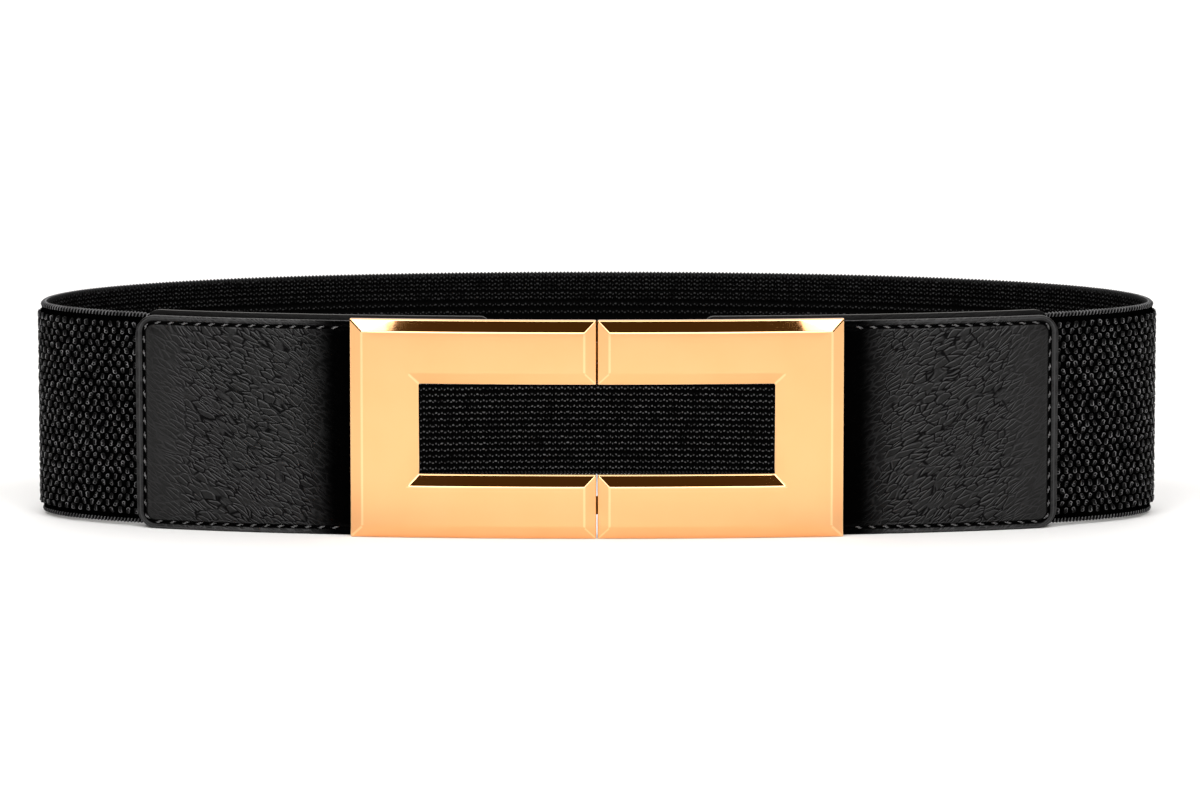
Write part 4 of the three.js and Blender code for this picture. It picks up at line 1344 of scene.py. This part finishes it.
def leather_finish(name, slant, fold_height, pebble_depth, crest_highlight_grey, start=0.0, seamed=True):
    """Pebbled leather with slanted creases, painted highlight on their crests and painted shade beside them,
    on the weave map in millimetres.
    """
    recipe = Recipe(name)
    place, u, _ = recipe.weave()
    bent = place
    # A slow noise bends the net over the whole tab, and a finer one bends each fold.
    for scale, reach in FOLD_BENDS:
        waves = recipe.node("TexNoise", Vector=place, Scale=scale, Detail=0.0)
        moved = recipe.node("VectorMath", {"operation": "MULTIPLY_ADD"}, Vector=waves.outputs["Color"])
        moved.inputs[1].default_value = (reach, reach, 0)
        recipe.put(bent, moved.inputs[2])
        bent = moved.outputs["Vector"]

    def folds(shift):
        """Thin lines of a net of long slanted cells, moved up by shift mm."""
        moved = recipe.node("VectorMath", {"operation": "ADD"}, Vector=bent)
        moved.inputs[1].default_value = (start - shift / 2, -shift, 0)
        turned = recipe.node("Mapping", {"vector_type": "TEXTURE"}, Vector=moved.outputs["Vector"])
        turned.inputs["Rotation"].default_value = (0, 0, math.radians(slant))
        turned.inputs["Scale"].default_value = FOLD_CELL
        net = recipe.node("TexVoronoi", {"feature": "DISTANCE_TO_EDGE"},
                          Vector=turned.outputs["Vector"], Scale=1.0)
        return recipe.share(net.outputs["Distance"], *FOLD_LINE)

    pebble = recipe.node("TexVoronoi", {"feature": "F1"}, Vector=place, Scale=1.5).outputs["Distance"]
    grain = recipe.noise(place, 2.6, 3.0, Roughness=0.6)
    where = recipe.noise(place, 0.3, 2.0)
    # The folds fade towards the tab's end and towards the buckle.
    inside = recipe.times(recipe.share(u, *FOLDS_START), recipe.share(u, *FOLDS_STOP))
    inside = recipe.math("MULTIPLY_ADD", inside, 1 - FOLDS_LEFT, FOLDS_LEFT)
    strong = recipe.times(inside, recipe.share(where, *FOLDS_COME))
    # The crest of each fold gets a painted highlight, and the net moved up gives it a side of painted shade.
    crest = recipe.times(folds(0.0), strong)
    crease = recipe.times(folds(FOLD_SHIFT), strong)
    normal = recipe.bump(recipe.math("SUBTRACT", crest, crease), fold_height)
    relief = recipe.math("SUBTRACT", recipe.times(grain, 0.9), recipe.times(pebble, 0.5))
    normal = recipe.bump(relief, pebble_depth, normal)
    colour = recipe.mix(recipe.share(grain, 0.3, 0.7), grey(0.004), grey(0.009))
    colour = recipe.mix(crest, colour, grey(crest_highlight_grey))
    rough = recipe.math("MULTIPLY_ADD", grain, 0.14, 0.26)
    shade = recipe.times(crease, 0.95 if seamed else 0.2)
    if seamed:
        seam_place = recipe.node("UVMap", {"uv_map": "seam"}).outputs["UV"]
        seam_map = recipe.node("SeparateXYZ", Vector=seam_place)
        seam, edge = seam_map.outputs["X"], seam_map.outputs["Y"]
        border = recipe.times(recipe.share(seam, *BORDER_FROM), recipe.share(where, *BORDER_COMES))
        # A painted highlight line runs along the rim just inside the tab's edge.
        rim = recipe.times(recipe.share(edge, *RIM_HIGHLIGHT_BEGINS), recipe.share(edge, *RIM_HIGHLIGHT_ENDS))
        colour = recipe.mix(border, colour, grey(0.02))
        colour = recipe.mix(rim, colour, grey(0.035))
        # The groove and the leather next to the buckle are painted black, without reflection, as painted
        # shade.
        groove = recipe.share(recipe.math("ABSOLUTE", seam), *GROOVE_EDGE)
        shade = recipe.times(shade, recipe.share(seam, *FOLDS_BESIDE_GROOVE))
        shade = recipe.math("MAXIMUM", shade, recipe.share(u, *BUCKLE_SHADE))
        shade = recipe.math("MAXIMUM", shade, groove)
    return recipe.finish(
        Base_Color=recipe.mix(shade, colour, grey(0.0004)),
        Specular_Tint=recipe.mix(shade, (1, 1, 1, 1), (0, 0, 0, 1)),
        Roughness=rough, Specular_IOR_Level=0.18, Normal=normal,
    )


# The right tab shows another part of the same pattern, 170 mm further on.
tab_look = {"slant": -34, "fold_height": 0.08, "pebble_depth": 0.05, "crest_highlight_grey": 0.055}
left_finish = leather_finish("tab_leather_left", **tab_look)
right_finish = leather_finish("tab_leather_right", start=170.0, **tab_look)
backing_finish = leather_finish(
    "backing_leather", slant=-30, fold_height=0.02, pebble_depth=0.05, crest_highlight_grey=0.012, seamed=False,
)
thread_finish = yarn_finish(
    "stitch_thread", dark=0.003, light=0.06, roughness=0.2, specular=1.0, ply_pitch=0.25,
)
for obj, finish in (
    (tab_left, left_finish), (tab_right, right_finish), (backing_left, backing_finish),
    (backing_right, backing_finish), (stitches_left, thread_finish), (stitches_right, thread_finish),
):
    obj.data.materials.append(finish)
print("leather finishes made")

# %% [markdown]
# ## Gold
# The buckle is zinc with a thin polished gold plating. A metal has no colour of its own under the
# reflections, so the base colour is the tint of the reflection itself. Polish is never perfect: a
# slow noise changes the roughness a little, hair-fine scratches come from a stretched noise, and a
# very low ripple keeps the reflections from being ruler-straight. The broken edges get a paler tint,
# a painted highlight that makes their lines whiter, except where face and bevel mirror the same
# floor. The unseen back is only satin, and the catch behind the gap is painted dark, as painted
# shade. The cards light the gold alone, so they give it its last brightness and leave the leather
# dark.

# %% Gold plating
HAIR_STRETCH = (0.25, 0.25, 6)
RIPPLE_HEIGHT = 0.015
POLISH_SPREAD = 0.02


def gold_finish(name, dark, light, roughness):
    """Polished metal whose tint wanders between two colours, with hair-fine scratches."""
    recipe = Recipe(name)
    place = in_millimetres(recipe)
    slow = recipe.noise(place, 0.08, 2.0)
    brushed = recipe.node("Mapping", {"vector_type": "POINT"}, Vector=place)
    brushed.inputs["Scale"].default_value = HAIR_STRETCH
    hair = recipe.noise(brushed.outputs["Vector"], 1.0, 3.0)
    ripple = recipe.noise(place, 0.16, 1.0)
    normal = recipe.bump(ripple, RIPPLE_HEIGHT)
    tint = recipe.mix(slow, dark, light)
    rough = recipe.math("MULTIPLY_ADD", hair, POLISH_SPREAD, roughness)
    rough = recipe.math("MULTIPLY_ADD", slow, POLISH_SPREAD, rough)
    return recipe.finish(Base_Color=tint, Metallic=1.0, Roughness=rough, Normal=normal)


gold = [
    gold_finish("buckle_gold", (0.88, 0.443, 0.185, 1), (0.92, 0.478, 0.215, 1), 0.015),
    # The broken edges are paler than the faces, as a painted highlight.
    gold_finish("buckle_gold_edges", (0.96, 0.58, 0.28, 1), (0.99, 0.62, 0.31, 1), 0.03),
    gold_finish("buckle_gold_back", (0.7, 0.36, 0.11, 1), (0.78, 0.42, 0.15, 1), 0.32),
    # The catch is painted dark, as painted shade behind the gap.
    gold_finish("buckle_catch", (0.1, 0.055, 0.02, 1), (0.16, 0.09, 0.035, 1), 0.45),
]

card_receivers = bpy.data.collections.new("lit by the cards")
for obj in (buckle_left, buckle_right):
    card_receivers.objects.link(obj)
for card in (front_card, left_card, right_card):
    card.light_linking.receiver_collection = card_receivers
print("gold made:", [finish.name for finish in gold])

# %% [markdown]
# ## Hand the pieces to the frame
# Every piece moves with the one body of the belt, and the solid that it stands for is hidden.

# %% Ride the body and hide the solids
dressed = {
    ground: ("elastic_band", "elastic_webbing"),
    knots_left: (None, "elastic_webbing"),
    knots_right: (None, "elastic_webbing"),
    roll_top: (None, "elastic_webbing"),
    roll_bottom: (None, "elastic_webbing"),
    tab_left: ("leather_tab_left", "tab_leather"),
    tab_right: ("leather_tab_right", "tab_leather"),
    stitches_left: (None, "tab_leather"),
    stitches_right: (None, "tab_leather"),
    backing_left: ("leather_backing_left", "backing_leather"),
    backing_right: ("leather_backing_right", "backing_leather"),
    buckle_left: ("buckle_half_left", "buckle_metal"),
    buckle_right: ("buckle_half_right", "buckle_metal"),
}
for obj, (node, slot) in dressed.items():
    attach(obj, "root")
    if node:
        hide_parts(node)

# %% Sizes and the end
bpy.context.view_layer.update()
triangles = {}
depsgraph = bpy.context.evaluated_depsgraph_get()
for obj in dressed:
    made = obj.evaluated_get(depsgraph).to_mesh()
    made.calc_loop_triangles()
    triangles[obj.name] = len(made.loop_triangles)
print("triangles:", sum(triangles.values()), triangles)
